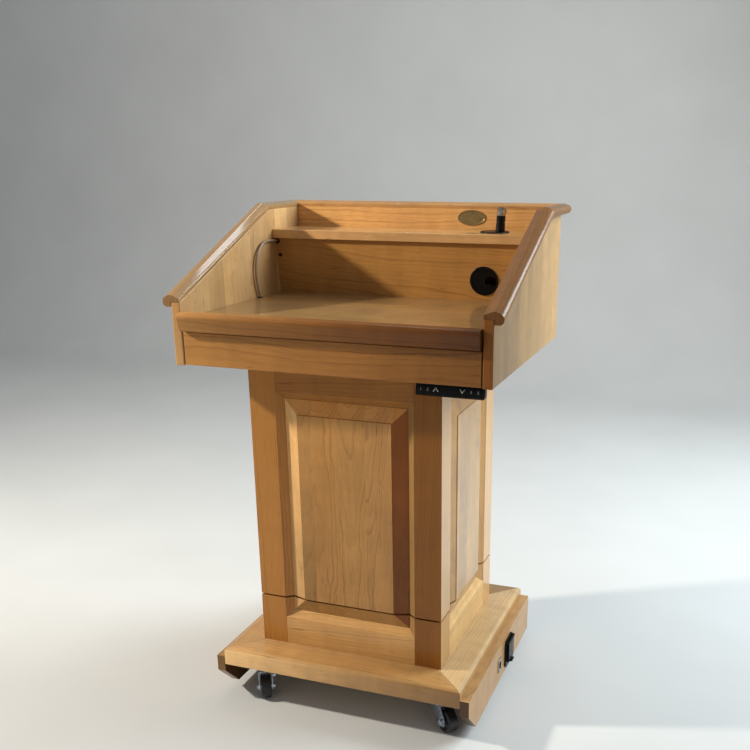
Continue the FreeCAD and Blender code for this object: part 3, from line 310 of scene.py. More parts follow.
def make_cherry_figure():
    """The colour, the roughness and the relief of cherry at a point of a board."""
    group, g, given, result = new_group("cherry_figure", FIGURE_INPUTS, SURFACE_OUTPUTS)
    trunk, reach, stave, lots = place_in_trunk(g, given)
    cells = g.add("ShaderNodeTexVoronoi", {"Vector": g.stretch(trunk, KNOT_CELLS), "Scale": 1.0})
    knot_lot = g.add("ShaderNodeSeparateColor", {"Color": cells.outputs["Color"]}).outputs[0]
    has_knot = g.remap(knot_lot, *KNOT_LOTS)
    pull = g.calc("MAXIMUM", g.calc("SUBTRACT", KNOT_REACH, cells.outputs["Distance"]), 0.0)
    pull = g.calc("MULTIPLY", g.calc("MULTIPLY", pull, has_knot), KNOT_PULL)
    core = g.remap(cells.outputs["Distance"], KNOT_CORE, KNOT_CORE / 2)
    knot = g.calc("MULTIPLY", has_knot, core)

    wander = g.calc("ADD", sway_of(g, trunk, *SLOW_WANDER), sway_of(g, trunk, *QUICK_WANDER))
    years = g.calc("DIVIDE", g.calc("ADD", g.calc("ADD", reach, wander), pull), given["Ring width"])
    season = g.calc("FRACT", years)
    close = g.remap(season, 0.90, 1.0, 1.0, 0.0)
    year_lot = g.calc("MULTIPLY_ADD", stave, 13.0, g.calc("FLOOR", years))
    strength = g.calc("POWER", g.lottery(year_lot)["Value"], 2.0)
    late = g.calc("MULTIPLY", g.calc("MULTIPLY", g.calc("POWER", season, 4.0), close),
                  g.remap(strength, 0.0, 1.0, *LATE_STRENGTH))

    fibre = g.noise(g.stretch(trunk, FIBRE_SCALE))
    streak = g.noise(g.stretch(trunk, STREAK_SCALE))
    cloud = g.noise(g.stretch(trunk, CLOUD_SCALE))
    curl = g.noise(g.stretch(trunk, CURL_SCALE), detail=1.0)
    pore = g.remap(g.noise(g.stretch(trunk, PORE_SCALE), detail=1.0), 0.60, 0.72)
    gum = g.remap(g.noise(g.stretch(trunk, GUM_SCALE), detail=1.0), 0.72, 0.78)

    wood = g.mix(g.calc("MULTIPLY", late, given["Lines"]), given["Early wood"], given["Late wood"])
    # Age deepens the wood and makes it redder; it also carries painted shade, redder where a board or a face lies
    # in shade. The tone, which sets how light the wood is, carries painted light and shade too.
    wood = g.add("ShaderNodeGamma", {"Color": wood, "Gamma": given["Age"]}).outputs[0]
    light = g.calc("MULTIPLY", given["Tone"], g.remap(lots[0], 0.0, 1.0, 0.88, 1.12))
    light = g.calc("MULTIPLY", light, g.remap(fibre, *NOISE_RANGE, 0.93, 1.07))
    light = g.calc("MULTIPLY", light, g.remap(streak, *NOISE_RANGE, 0.95, 1.05))
    for wave, amount in ((cloud, given["Cloud"]), (curl, given["Curl"])):
        swing = g.remap(wave, *NOISE_RANGE, -1.0, 1.0)
        light = g.calc("MULTIPLY", light, g.calc("MULTIPLY_ADD", swing, amount, 1.0))
    toned = g.add("ShaderNodeHueSaturation", {
        "Hue": g.remap(lots[2], 0.0, 1.0, 0.497, 0.503),
        "Saturation": g.remap(lots[1], 0.0, 1.0, 0.97, 1.03),
        "Value": light, "Color": wood}).outputs[0]
    toned = g.mix(g.calc("MULTIPLY", gum, 0.5), toned, GUM_TINT)
    toned = g.mix(g.calc("MULTIPLY", pore, 0.25), toned, PORE_TINT)
    toned = g.mix(g.calc("MULTIPLY", knot, 0.8), toned, KNOT_TINT)
    g.put(result["Colour"], toned)
    smooth = g.calc("MULTIPLY_ADD", late, -0.05, 0.36)
    g.put(result["Roughness"], g.calc("MULTIPLY_ADD", fibre, 0.12, smooth))
    sunk = g.calc("ADD", pore, late)
    g.put(result["Height"], g.calc("SUBTRACT", g.calc("MULTIPLY", fibre, 0.3), sunk))
    return group


cherry_figure = make_cherry_figure()
print("cherry figure has", len(cherry_figure.nodes), "nodes")

# %% [markdown]
# ## Lacquered boards in three cuts
# The same figure gives three kinds of board. Glued panels have staves and arches. Planks are one piece
# of wood with arches. Rift boards, used for stiles and rails, were cut across the rings and show
# straight lines. A thin coat on the shader stands for the lacquer, and four weights of it are enough:
# oiled where hands have worn it thin, satin, gloss, and polished on the rounded rail. A finish is made
# when the first board asks for it, so no list of them has to be kept.

# %% Cherry materials
# Sizes of each cut in millimetres
CUTS = {
    "glued": {"Stave width": 58.0, "Ring width": 4.3, "Pith depth": 52.0, "Pith aside": 0.0},
    "plank": {"Stave width": 1500.0, "Ring width": 7.5, "Pith depth": 80.0, "Pith aside": 14.0},
    "rift": {"Stave width": 1500.0, "Ring width": 5.2, "Pith depth": 22.0, "Pith aside": 110.0},
}
CURL = {"glued": 0.06, "plank": 0.08, "rift": 0.03}
CLOUD = {"glued": 0.16, "plank": 0.10, "rift": 0.06}
# Weight of the coat, its roughness, and how strongly the figure is felt through it
LACQUER = {"oiled": (0.28, 0.10, 0.05), "satin": (0.45, 0.13, 0.08), "gloss": (0.85, 0.10, 0.08),
           "polished": (0.75, 0.07, 0.03)}
BOARD_INPUTS = (("Grain", "grain", "Vector"), ("Seed", "seed", "Fac"), ("Tone", "tone", "Fac"),
                ("Age", "age_and_shade", "Fac"), ("Lines", "lines", "Fac"))
WOOD_SHINE = 0.15
FIGURE_DEPTH_MM = 0.4


def make_cherry(cut, lacquer):
    material, m, shader = new_material("cherry_%s_%s" % (cut, lacquer))
    waves = {"Curl": CURL[cut], "Cloud": CLOUD[cut]}
    figure = m.add("ShaderNodeGroup", waves, node_tree=cherry_figure)
    for label, attribute, output in BOARD_INPUTS:
        reader = m.add("ShaderNodeAttribute", attribute_name=attribute)
        m.put(figure.inputs[label], reader.outputs[output])
    for label, size_mm in CUTS[cut].items():
        figure.inputs[label].default_value = size_mm * MM
    weight, roughness, relief = LACQUER[lacquer]
    set_surface(m, shader, figure.outputs["Colour"], figure.outputs["Roughness"])
    shader.inputs["Specular IOR Level"].default_value = WOOD_SHINE
    shader.inputs["Coat Weight"].default_value = weight
    shader.inputs["Coat Roughness"].default_value = roughness
    raise_bump(m, shader, figure.outputs["Height"], relief, FIGURE_DEPTH_MM)
    return material


CHERRY = {}


def cherry(cut, lacquer):
    """The cherry of one cut under one lacquer, made when it is first asked for."""
    if (cut, lacquer) not in CHERRY:
        CHERRY[cut, lacquer] = make_cherry(cut, lacquer)
    return CHERRY[cut, lacquer]


print("cuts:", list(CUTS), "lacquers:", list(LACQUER))

# %% [markdown]
# ## From solid to board
# A CAD solid has razor edges, and real boards don't: a plane or sandpaper has taken the sharp arris
# off, and that thin bright line is what makes a model look real. We copy the solid's mesh, merge its
# loose triangles, dissolve the flat ones into whole faces and bevel every sharp edge. Then each
# separate board gets its grain: along its longest edge, through the face that is largest.

# %% Board helpers
MERGE = 0.004 * MM
SHARP = math.radians(20.0)
FLAT = math.radians(0.4)
COLUMN_AXIS = Vector((0.0, -14.0 * MM, 0.0))
LARGE_FACE_WEIGHT = 60


def ease_edges(work, offset, segments):
    """Bevel every sharp edge and shade the whole shape smooth."""
    sharp = [edge for edge in work.edges
             if len(edge.link_faces) == 2 and edge.calc_face_angle() > SHARP]
    bmesh.ops.bevel(work, geom=sharp, offset=offset, offset_type="OFFSET", segments=segments, profile=0.5,
                    affect="EDGES", clamp_overlap=True, material=-1)
    for face in work.faces:
        face.smooth = True


def solid_copy(node, edge_mm):
    """A clean copy of a solid's mesh with its sharp edges eased."""
    work = bmesh.new()
    work.from_mesh(frame["nodes"][node].data)
    bmesh.ops.remove_doubles(work, verts=work.verts, dist=MERGE)
    bmesh.ops.dissolve_limit(work, angle_limit=FLAT, verts=work.verts, edges=work.edges)
    ease_edges(work, edge_mm * MM, 2)
    return work


def separate_boards(work):
    """The faces of each connected board, in a steady order."""
    waiting = set(work.faces)
    boards = []
    for start in work.faces:
        if start not in waiting:
            continue
        waiting.remove(start)
        board = [start]
        for face in board:
            for edge in face.edges:
                for neighbour in edge.link_faces:
                    if neighbour in waiting:
                        waiting.remove(neighbour)
                        board.append(neighbour)
        boards.append(board)
    return boards


def positive(direction):
    """The same line, pointing towards the positive end of its main axis."""
    main = max(range(3), key=lambda i: abs(direction[i]))
    return direction if direction[main] > 0 else -direction


def board_axes(board, upright):
    """Across, through and along a board, from its largest face and its longest edge."""
    through = max(board, key=lambda face: face.calc_area()).normal.copy()
    edges = [edge for face in board for edge in face.edges]
    longest = max(edges, key=lambda edge: edge.calc_length())
    along = positive((longest.verts[1].co - longest.verts[0].co).normalized())
    if upright:
        along = Vector((0.0, 0.0, 1.0))
    points = [vertex.co for face in board for vertex in face.verts]
    low = Vector([min(point[i] for point in points) for i in range(3)])
    high = Vector([max(point[i] for point in points) for i in range(3)])
    centre = (low + high) / 2
    if through.dot(centre - COLUMN_AXIS) < 0:
        through = -through
    return along.cross(through).normalized(), through, along, centre


def add_piece(work, node, *materials, name=None, slot=None):
    """Turn a bmesh into a piece on a node's body. Without a name of its own it stands for the node."""
    mesh = bpy.data.meshes.new(name or node + "_dressed")
    work.to_mesh(mesh)
    work.free()
    for material in materials:
        mesh.materials.append(material)
    piece = bpy.data.objects.new(mesh.name, mesh)
    scene.collection.objects.link(piece)
    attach(piece, BODY_OF[node])
    if name is None:
        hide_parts(node)
    normals = piece.modifiers.new("even normals", "WEIGHTED_NORMAL")
    normals.weight = LARGE_FACE_WEIGHT
    return piece


print("board helpers ready")

# %% [markdown]
# ## Dressing the boards
# Now every cherry board is made. The stiles and panels of the column were sawn through after they were
# glued up, so the grain has to run on across the cut: upright boards take their height from the floor,
# and their seed from the face of the column that they are on, so both sides of the cut agree. The
# other boards draw a seed from their own name. A tone makes a board a little darker or lighter, and
# an age above one makes it redder, as real planks are. Both also carry painted light and shade: a
# board or a face that lies in shade is drawn darker and redder, and one the light falls on is lighter.
# The tables below hold all that, by the name of the node, or by that name and the side of the podium
# that a board is on.

# %% What each board is
# How far sharp edges are eased, in millimetres
EASED = {
    "base_boards": 0.5, "skirt_left": 1.2, "skirt_right": 1.2, "plinth_frame": 0.4, "plinth_panels": 0.5,
    "column_stiles": 0.4, "column_top_rails": 0.4, "panels_front_rear": 0.9, "panels_sides": 0.9,
    "side_panel_left": 2.2, "side_panel_right": 2.2, "back_panel": 0.8, "desk_top": 0.5,
    "desk_nosing": 1.2, "riser_panel": 0.8, "shelf": 0.6, "cap_rails": 0.4, "drawer_front": 0.8,
}
# Cut and lacquer
USUAL_FINISH = ("plank", "satin")
FINISHES = {
    "base_boards": ("plank", "gloss"), "skirt_left": ("plank", "satin"), "skirt_right": ("plank", "satin"),
    "plinth_panels": ("glued", "satin"), "plinth_panels front": ("glued", "oiled"),
    "column_top_rails": ("plank", "satin"), "column_top_rails front": ("plank", "oiled"),
    "panels_front_rear": ("glued", "oiled"), "panels_sides": ("glued", "gloss"),
    "side_panel_left": ("glued", "satin"), "side_panel_right": ("glued", "satin"),
    "back_panel": ("plank", "satin"), "desk_top": ("glued", "gloss"), "desk_nosing": ("plank", "oiled"),
    "riser_panel": ("plank", "satin"), "shelf": ("plank", "gloss"), "cap_rails": ("plank", "polished"),
    "cap_rails right": ("plank", "oiled"), "drawer_front": ("plank", "satin"),
}
for column_face in ("front", "right", "rear", "left"):
    FINISHES["plinth_frame %s middle" % column_face] = USUAL_FINISH
# Tone and age, partly each board's own colour and partly painted light and shade: darker and redder
# where a board lies in shade, lighter where the light falls on it
TONES_AND_SHADE = {
    "base_boards middle": (0.78, 0.84), "base_boards right": (0.77, 0.58), "base_boards left": (1.0, 0.85),
    "skirt_right": (0.80, 0.86), "skirt_left": (0.90, 0.95), "panels_front_rear": (0.95, 1.08),
    "plinth_panels front middle": (0.84, 1.08), "plinth_panels right middle": (0.86, 0.85),
    "panels_sides": (0.77, 0.84), "plinth_frame right middle": (1.0, 0.71),
    "plinth_frame front middle": (1.16, 0.98), "column_top_rails front middle": (0.88, 1.42),
    "side_panel_left": (0.93, 0.74), "side_panel_right": (0.54, 0.77), "back_panel": (1.20, 0.98),
    "desk_top": (0.67, 0.80), "desk_nosing": (0.53, 1.42), "riser_panel": (0.96, 1.06),
    "shelf": (1.06, 0.90), "cap_rails right": (0.46, 1.26), "cap_rails left": (0.65, 0.80),
    "drawer_front": (0.90, 1.26),
}
# Stiles by place, partly their own colour and partly painted light and shade
STILE_TONES_AND_SHADE = {"front left": (1.20, 1.28), "front right": (0.68, 1.42), "right near": (0.90, 0.88),
               "right far": (1.14, 0.86)}
for node in ("column_stiles", "plinth_frame"):
    FINISHES[node] = ("rift", "satin")
    FINISHES[node + " front"] = ("rift", "oiled")
    FINISHES[node + " right"] = ("rift", "gloss")
    for place, tone in STILE_TONES_AND_SHADE.items():
        TONES_AND_SHADE["%s %s" % (node, place)] = tone
EDGE_TONES = {"side_panel_right": (0.77, 1.23), "side_panel_left": (1.10, 0.92),
              "base_boards": (0.76, 0.84)}
END_TONES = {"skirt_left": (0.55, 1.15), "skirt_right": (0.20, 1.4), "cap_rails": (0.85, 1.1)}
USUAL_END_TONE = (0.75, 1.05)
# Painted shade on the inner faces of the skirts, down under the slab
PAINTED_INSIDE_SHADE = {"skirt_left": (0.25, 1.4), "skirt_right": (0.25, 1.4)}
# Painted light and shade on the front panel's bevels and the right stile's moulding, as tone and age: the left
# bevel and the moulding, turned to the key lamp, and the top bevel under the head's shadow are painted lighter;
# the right bevel, turned away from the key, is painted darker and redder
PAINTED_BEVEL_LIGHT = {"left": (1.42, 0.83), "right": (0.94, 1.65), "top": (1.4, 1.12),
               "moulding": (0.95, 0.62)}
AS_IT_IS = (1.0, 1.0)
# Painted light falloff: direction, and how fast tone and age change that way as the light fades
PAINTED_FALLOFF = {
    "base_boards middle": ("along", -0.28, 0.05), "desk_nosing": ("along", -0.48, 0.24),
    "drawer_front": ("along", -0.25, 0.11), "side_panel_right": ("across", 0.40, 0.0),
    "panels_front_rear front": ("along", 0.15, 0.0), "column_stiles front right": ("along", 0.10, 0.0),
}
# Painted light falloff on the edges of those boards, in the same columns
PAINTED_EDGE_FALLOFF = {"base_boards middle": ("along", -0.60, 0.20),
              "side_panel_right": ("across", 0.03, -0.26)}
NO_FALLOFF = ("along", 0.0, 0.0)
# How dark the year rings stand out
FIGURE_LINES = {"plank": 0.7, "glued": 0.62, "rift": 0.7}
EDGE_LINES = 0.25
print("boards to dress:", len(EASED))

# %% [markdown]
# ## Laying the grain
# A board finds its own entry in these tables by the side of the podium that it is on. Tone and age are
# written on the corners of its faces, because the end of a board is darker than its face and both meet
# at one vertex, and a bevel with painted light or shade meets a face without it. The fades are painted
# light falloff: gentle slopes from one end of a board to the other, as the light fades across the podium.

# %% Make the cherry boards
COLUMN_PANELS = ("plinth_panels", "panels_front_rear", "panels_sides")
COLUMN_NODES = COLUMN_PANELS + ("column_stiles", "plinth_frame", "column_top_rails")
UPRIGHT = COLUMN_PANELS + ("side_panel_left", "side_panel_right")
# Limits that tell the place of a board and the direction of a face
MIDDLE = 30 * MM
FACING = 0.5
ENDWISE = 0.6
PLUMB = 0.9
TILTED = 0.1


def board_side(node, through, centre):
    """Which face of the column, and which part of that face, a board is on, in words."""
    offset = centre - COLUMN_AXIS
    if node not in COLUMN_NODES:
        return "right" if offset.x > MIDDLE else "left" if offset.x < -MIDDLE else "middle"
    if abs(through.x) > FACING:
        face = "right" if through.x > 0 else "left"
        return face + (" far" if offset.y > MIDDLE else " near" if offset.y < -MIDDLE else " middle")
    face = "rear" if through.y > 0 else "front"
    return face + (" right" if offset.x > MIDDLE else " left" if offset.x < -MIDDLE else " middle")


def look_up(table, node, side, usual):
    """A board's own entry, or else that of its face of the column, or of its node."""
    for word in ("%s %s" % (node, side), "%s %s" % (node, side.split()[0]), node):
        if word in table:
            return table[word]
    return usual


def bevel_light_and_shade(node, side, normal, across, along):
    """Painted light and shade: how much lighter and how much redder a bevel or a moulding of the front is than its
    board.
    """
    aslant = normal.dot(across)
    if side == "front right" and aslant < -TILTED:
        return PAINTED_BEVEL_LIGHT["moulding"]
    if side != "front middle" or node not in COLUMN_PANELS:
        return AS_IT_IS
    if abs(aslant) > TILTED:
        return PAINTED_BEVEL_LIGHT["right" if aslant > 0 else "left"]
    return PAINTED_BEVEL_LIGHT["top"] if normal.dot(along) > TILTED else AS_IT_IS


def face_tone(node, side, normal, across, through, along):
    """The tone and the age of one face of a board, with painted light and shade on front bevels and the skirts'
    inner faces.
    """
    tones = [look_up(TONES_AND_SHADE, node, side, AS_IT_IS)]
    if abs(normal.dot(through)) < FACING:
        tones[0] = EDGE_TONES.get(node, tones[0])
    tones.append(bevel_light_and_shade(node, side, normal, across, along))
    if abs(normal.dot(along)) > ENDWISE:
        tones.append(END_TONES.get(node, USUAL_END_TONE))
    elif normal.dot(through) < -FACING:
        tones.append(PAINTED_INSIDE_SHADE.get(node, AS_IT_IS))
    return math.prod(tone for tone, age_and_shade in tones), math.prod(age_and_shade for tone, age_and_shade in tones)


def lay_grain(work, node, finishes):
    """Write grain and seed on each board's vertices, and tone, age and lines on its corners, painted light and
    shade included.
    """
    grain = work.verts.layers.float_vector.new("grain")
    seed_layer = work.verts.layers.float.new("seed")
    tone_layer = work.loops.layers.float.new("tone")
    age_and_shade_layer = work.loops.layers.float.new("age_and_shade")
    lines_layer = work.loops.layers.float.new("lines")
    boards = separate_boards(work)
    for index, board in enumerate(boards):
        across, through, along, centre = board_axes(board, node in UPRIGHT)
        side = board_side(node, through, centre)
        finish = look_up(FINISHES, node, side, USUAL_FINISH)
        if finish not in finishes:
            finishes.append(finish)
        word = "column " + side if node in COLUMN_NODES else "%s %d" % (node, index)
        seed = random.Random(word).random()
        vertices = {vertex for face in board for vertex in face.verts}
        ways = {"across": across, "along": along}
        reach = {}
        for way, line in ways.items():
            reach[way] = max((vertex.co - centre).dot(line) for vertex in vertices)
        start = centre.copy()
        if abs(along.z) > PLUMB:
            start.z = 0.0
        for face in board:
            face.material_index = finishes.index(finish)
            tone, age_and_shade = face_tone(node, side, face.normal, across, through, along)
            on_edge = abs(face.normal.dot(through)) < FACING
            falloff = look_up(PAINTED_FALLOFF, node, side, NO_FALLOFF)
            if on_edge:
                falloff = look_up(PAINTED_EDGE_FALLOFF, node, side, falloff)
            way, tone_rate, age_and_shade_rate = falloff
            lines = EDGE_LINES if on_edge and node in EDGE_TONES else FIGURE_LINES[finish[0]]
            for corner in face.loops:
                share = (corner.vert.co - centre).dot(ways[way]) / reach[way]
                corner[tone_layer] = tone * math.exp(tone_rate * share)
                corner[age_and_shade_layer] = age_and_shade * math.exp(age_and_shade_rate * share)
                corner[lines_layer] = lines
        for vertex in vertices:
            offset = vertex.co - start
            vertex[grain] = Vector((offset.dot(across), offset.dot(through), offset.dot(along)))
            vertex[seed_layer] = seed
    return len(boards)


for node, edge_mm in EASED.items():
    work = solid_copy(node, edge_mm)
    finishes = []
    count = lay_grain(work, node, finishes)
    piece = add_piece(work, node, *(cherry(*finish) for finish in finishes))
    print(node, count, "boards,", len(piece.data.polygons), "faces")

# %% [markdown]
# ## Plywood
# The floor under the slab, the head's floor and the drawer's box are plywood. Plywood is thin sheets
# glued with their grain crossed, so a cut edge shows stripes and a face shows one pale sheet. The same
# board coordinates give both: the sheet's number comes from how deep a point is through the board.

# %% Make the plywood boards
PLY = 1.45 * MM
PLY_EASED_MM = 0.4
VENEER_TINTS = ((0.50, 0.36, 0.20, 1.0), (0.66, 0.52, 0.33, 1.0))
CROSS_TINT = (0.30, 0.18, 0.08, 1.0)
# An even number that keeps the count of sheets above zero
COUNT_START = 100.0


def make_plywood():
    material, m, shader = new_material("birch_plywood")
    grain = m.add("ShaderNodeAttribute", attribute_name="grain").outputs["Vector"]
    across, through, along = m.add("ShaderNodeSeparateXYZ", {"Vector": grain}).outputs
    sheet = m.calc("FLOOR", m.calc("DIVIDE", m.calc("ADD", through, PLY / 2), PLY))
    odd = m.calc("MODULO", m.calc("ADD", sheet, COUNT_START), 2.0)
    turned = m.add("ShaderNodeCombineXYZ", {"X": along, "Y": through, "Z": across}).outputs[0]
    laid = m.add("ShaderNodeMix", data_type="VECTOR")
    for index, value in ((0, odd), (4, grain), (5, turned)):
        m.put(laid.inputs[index], value)
    fibre = m.noise(m.stretch(laid.outputs[1], (260.0, 260.0, 9.0)), detail=3.0)
    veneer = m.mix(fibre, *VENEER_TINTS)
    tint = m.mix(m.calc("MULTIPLY", odd, 0.45), veneer, CROSS_TINT)
    set_surface(m, shader, tint, m.remap(fibre, *NOISE_RANGE, 0.52, 0.68))
    raise_bump(m, shader, m.calc("SUBTRACT", fibre, odd), 0.12, 0.2)
    return material


plywood = make_plywood()
for node in ("base_floor_panel", "head_floor", "drawer_box"):
    work = solid_copy(node, PLY_EASED_MM)
    count = lay_grain(work, node, [])
    add_piece(work, node, plywood)
    print(node, count, "plywood boards")

# %% [markdown]
# ## Black plastic and rubber
# The fittings are moulded plastic. Moulds are etched, so the surface is a fine pebble that breaks up the
# highlights, and handling leaves soft smears that are a little glossier. One group makes both, and the
# plastic, the keys, the laminate of the sleeve and the tyres each use it with their own scale.

# %% The moulded surface, as a node group
MOULDED_INPUTS = [
    ("Place", "Vector", None), ("Pebble scale", "Float", 2600.0),
    ("Tint", "Color", (0.02, 0.02, 0.02, 1.0)), ("Bloom", "Color", (0.05, 0.05, 0.05, 1.0)),
    ("Gloss", "Float", 0.4),
]
PEBBLE_DEPTH_MM = 0.15


def make_moulded():
    group, g, given, result = new_group("moulded_surface", MOULDED_INPUTS, SURFACE_OUTPUTS)
    pebble = g.noise(given["Place"], given["Pebble scale"], 1.0)
    smear = g.noise(given["Place"], 60.0, 3.0)
    handled = g.remap(smear, 0.35, 0.75, 0.0, 0.5)
    g.put(result["Colour"], g.mix(handled, given["Tint"], given["Bloom"]))
    uneven = g.remap(smear, *NOISE_RANGE, -0.05, 0.08)
    g.put(result["Roughness"], g.calc("ADD", given["Gloss"], uneven))
    g.put(result["Height"], pebble)
    return group


moulded_surface = make_moulded()


def make_moulded_finish(name, tint, bloom, gloss, shine, pebble_scale, bump):
    material, m, shader = new_material(name)
    place = m.add("ShaderNodeTexCoord").outputs["Object"]
    surface = m.add("ShaderNodeGroup", {
        "Place": place, "Pebble scale": pebble_scale, "Tint": tint + (1.0,),
        "Bloom": bloom + (1.0,), "Gloss": gloss}, node_tree=moulded_surface)
    set_surface(m, shader, surface.outputs["Colour"], surface.outputs["Roughness"])
    shader.inputs["Specular IOR Level"].default_value = shine
    raise_bump(m, shader, surface.outputs["Height"], bump, PEBBLE_DEPTH_MM)
    return material


black_plastic = make_moulded_finish(
    "black_plastic", tint=(0.003, 0.003, 0.003), bloom=(0.006, 0.006, 0.007),
    gloss=0.30, shine=0.16, pebble_scale=2600.0, bump=0.10)
key_plastic = make_moulded_finish(
    "key_plastic", tint=(0.003, 0.003, 0.003), bloom=(0.005, 0.005, 0.006),
    gloss=0.36, shine=0.16, pebble_scale=3200.0, bump=0.08)
print("moulded finishes ready")

# %% [markdown]
# ## Plated metal
# Zinc plating on the casters is bright and a little blue, nickel on the connectors is warmer, the oval
# plate is aged brass, and the screws in the riser are dark bronze. All are metals with a faint cloud in
# the polish and fine marks, so one group serves them, and only the tint and the polish differ.

# %% The plated surface, as a node group
PLATED_INPUTS = [
    ("Place", "Vector", None), ("Bright", "Color", (0.7, 0.7, 0.7, 1.0)),
    ("Dull", "Color", (0.4, 0.4, 0.4, 1.0)), ("Polish", "Float", 0.2),
]
MARK_SCALE = (900.0, 900.0, 5000.0)
MARK_STRENGTH = 0.05
MARK_DEPTH_MM = 0.05


def make_plated():
    group, g, given, result = new_group("plated_surface", PLATED_INPUTS, SURFACE_OUTPUTS)
    cloud = g.noise(given["Place"], 110.0, 3.0)
    marks = g.noise(g.stretch(given["Place"], MARK_SCALE), 1.0, 1.0)
    g.put(result["Colour"], g.mix(g.remap(cloud, *NOISE_RANGE), given["Bright"], given["Dull"]))
    uneven = g.remap(cloud, *NOISE_RANGE, -0.04, 0.10)
    g.put(result["Roughness"], g.calc("ADD", given["Polish"], uneven))
    g.put(result["Height"], marks)
    return group


plated_surface = make_plated()


def make_plated_finish(name, bright, dull, polish):
    material, m, shader = new_material(name)
    place = m.add("ShaderNodeTexCoord").outputs["Object"]
    surface = m.add("ShaderNodeGroup", {
        "Place": place, "Bright": bright + (1.0,), "Dull": dull + (1.0,), "Polish": polish},
        node_tree=plated_surface)
    set_surface(m, shader, surface.outputs["Colour"], surface.outputs["Roughness"])
    shader.inputs["Metallic"].default_value = 1.0
    raise_bump(m, shader, surface.outputs["Height"], MARK_STRENGTH, MARK_DEPTH_MM)
    return material


zinc = make_plated_finish("zinc_plate", (0.62, 0.70, 0.80), (0.30, 0.36, 0.45), 0.16)
nickel = make_plated_finish("nickel_plate", (0.62, 0.57, 0.49), (0.28, 0.25, 0.21), 0.09)
aged_brass = make_plated_finish("aged_brass", (0.42, 0.30, 0.13), (0.24, 0.16, 0.07), 0.34)
dark_bronze = make_plated_finish("dark_bronze", (0.12, 0.06, 0.035), (0.06, 0.03, 0.02), 0.36)
print("plated finishes ready")

# %% [markdown]
# ## Paint, laminate and tyres
# The lifting column is powder-coated steel, with the orange-peel that powder leaves. The sleeve inside
# the column is black laminate. A wheel is a hard hub with a rubber tyre, and we tell them apart by how
# far a point is from the axle, which each wheel carries as an attribute.

# %% Paint, laminate and tyre materials
TREAD_REACH = (0.82, 0.86)
TREAD_DULLER = 0.12
HUB_TINTS = ((0.016, 0.017, 0.019, 1.0), (0.028, 0.029, 0.032, 1.0))


def make_tyre():
    material, m, shader = new_material("wheel_rubber")
    place = m.add("ShaderNodeTexCoord").outputs["Object"]
    reach = m.add("ShaderNodeAttribute", attribute_name="reach").outputs["Fac"]
    tread = m.remap(reach, *TREAD_REACH)
    surface = m.add("ShaderNodeGroup", {
        "Place": place, "Pebble scale": 1500.0, "Tint": (0.010, 0.010, 0.011, 1.0),
        "Bloom": (0.030, 0.027, 0.024, 1.0), "Gloss": 0.42}, node_tree=moulded_surface)
    hub = m.mix(m.noise(place, 700.0), *HUB_TINTS)
    tint = m.mix(tread, hub, surface.outputs["Colour"])
    hub_roughness = m.calc("SUBTRACT", surface.outputs["Roughness"], TREAD_DULLER)
    set_surface(m, shader, tint, m.calc("MULTIPLY_ADD", tread, TREAD_DULLER, hub_roughness))
    raise_bump(m, shader, surface.outputs["Height"], 0.10, 0.2)
    return material


lift_paint = make_moulded_finish(
    "lift_powder_coat", tint=(0.10, 0.105, 0.11), bloom=(0.14, 0.145, 0.15),
    gloss=0.38, shine=0.5, pebble_scale=900.0, bump=0.15)
laminate = make_moulded_finish(
    "sleeve_laminate", tint=(0.012, 0.012, 0.012), bloom=(0.022, 0.021, 0.020),
    gloss=0.42, shine=0.5, pebble_scale=1800.0, bump=0.12)
tyre = make_tyre()
print("paint, laminate and tyre ready")

# %% [markdown]
# ## Dressing the fittings
# The fittings have the right shape already. They get the same treatment as the boards, only with
# smaller edges, and each gets the finish that the table lists for it.

# %% Make the fittings
CASTERS = ("front_left", "front_right", "rear_left", "rear_right")
WHEEL_EASED_MM = 0.6
# Finish, how far sharp edges are eased in millimetres, and the nodes
FITTINGS = [
    (laminate, 0.3, "inner_sleeve"),
    (lift_paint, 0.6, "lift_outer_tube lift_middle_tube lift_inner_tube lift_motor"),
    (zinc, 0.3, "caster_plates fork_front_left fork_front_right fork_rear_left fork_rear_right"),
    (zinc, 0.2, "caster_screws slide_outers slide_inners"),
    (black_plastic, 0.6, "brake_pedal_front_left brake_pedal_front_right"),
    (black_plastic, 0.5, "power_inlet_body power_inlet_lid grommet_cap_riser grommet_cap_shelf"),
    (black_plastic, 1.0, "control_box"),
    (black_plastic, 0.8, "keypad_case"),
    (black_plastic, 0.7, "grommet_rings"),
    (black_plastic, 0.3, "connector_boot lead_bushes"),
    (nickel, 0.25, "xlr_jack connector_shell connector_latch"),
    (dark_bronze, 0.25, "riser_screws"),
    (key_plastic, 0.25, "key_1 key_2 key_up key_down key_3 key_set"),
]
for material, edge_mm, nodes in FITTINGS:
    for node in nodes.split():
        add_piece(solid_copy(node, edge_mm), node, material)
print("fittings:", sum(len(nodes.split()) for material, edge_mm, nodes in FITTINGS))


def make_wheel(name):
    """A wheel whose vertices know how far they are from the axle, as a share of the radius."""
    work = solid_copy("wheel_" + name, WHEEL_EASED_MM)
    reach = work.verts.layers.float.new("reach")
    axle = Vector(JOINTS["roll_" + name]["axis"]).normalized()
    low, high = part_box("wheel_" + name)
    centre = (Vector(low) + Vector(high)) / 2
    distances = {}
    for vertex in work.verts:
        offset = vertex.co - centre
        distances[vertex] = (offset - axle * offset.dot(axle)).length
    radius = max(distances.values())
    for vertex, distance in distances.items():
        vertex[reach] = distance / radius
    add_piece(work, "wheel_" + name, tyre)
    return radius


for name in CASTERS:
    print("wheel", name, round(make_wheel(name), 4), "m in radius")

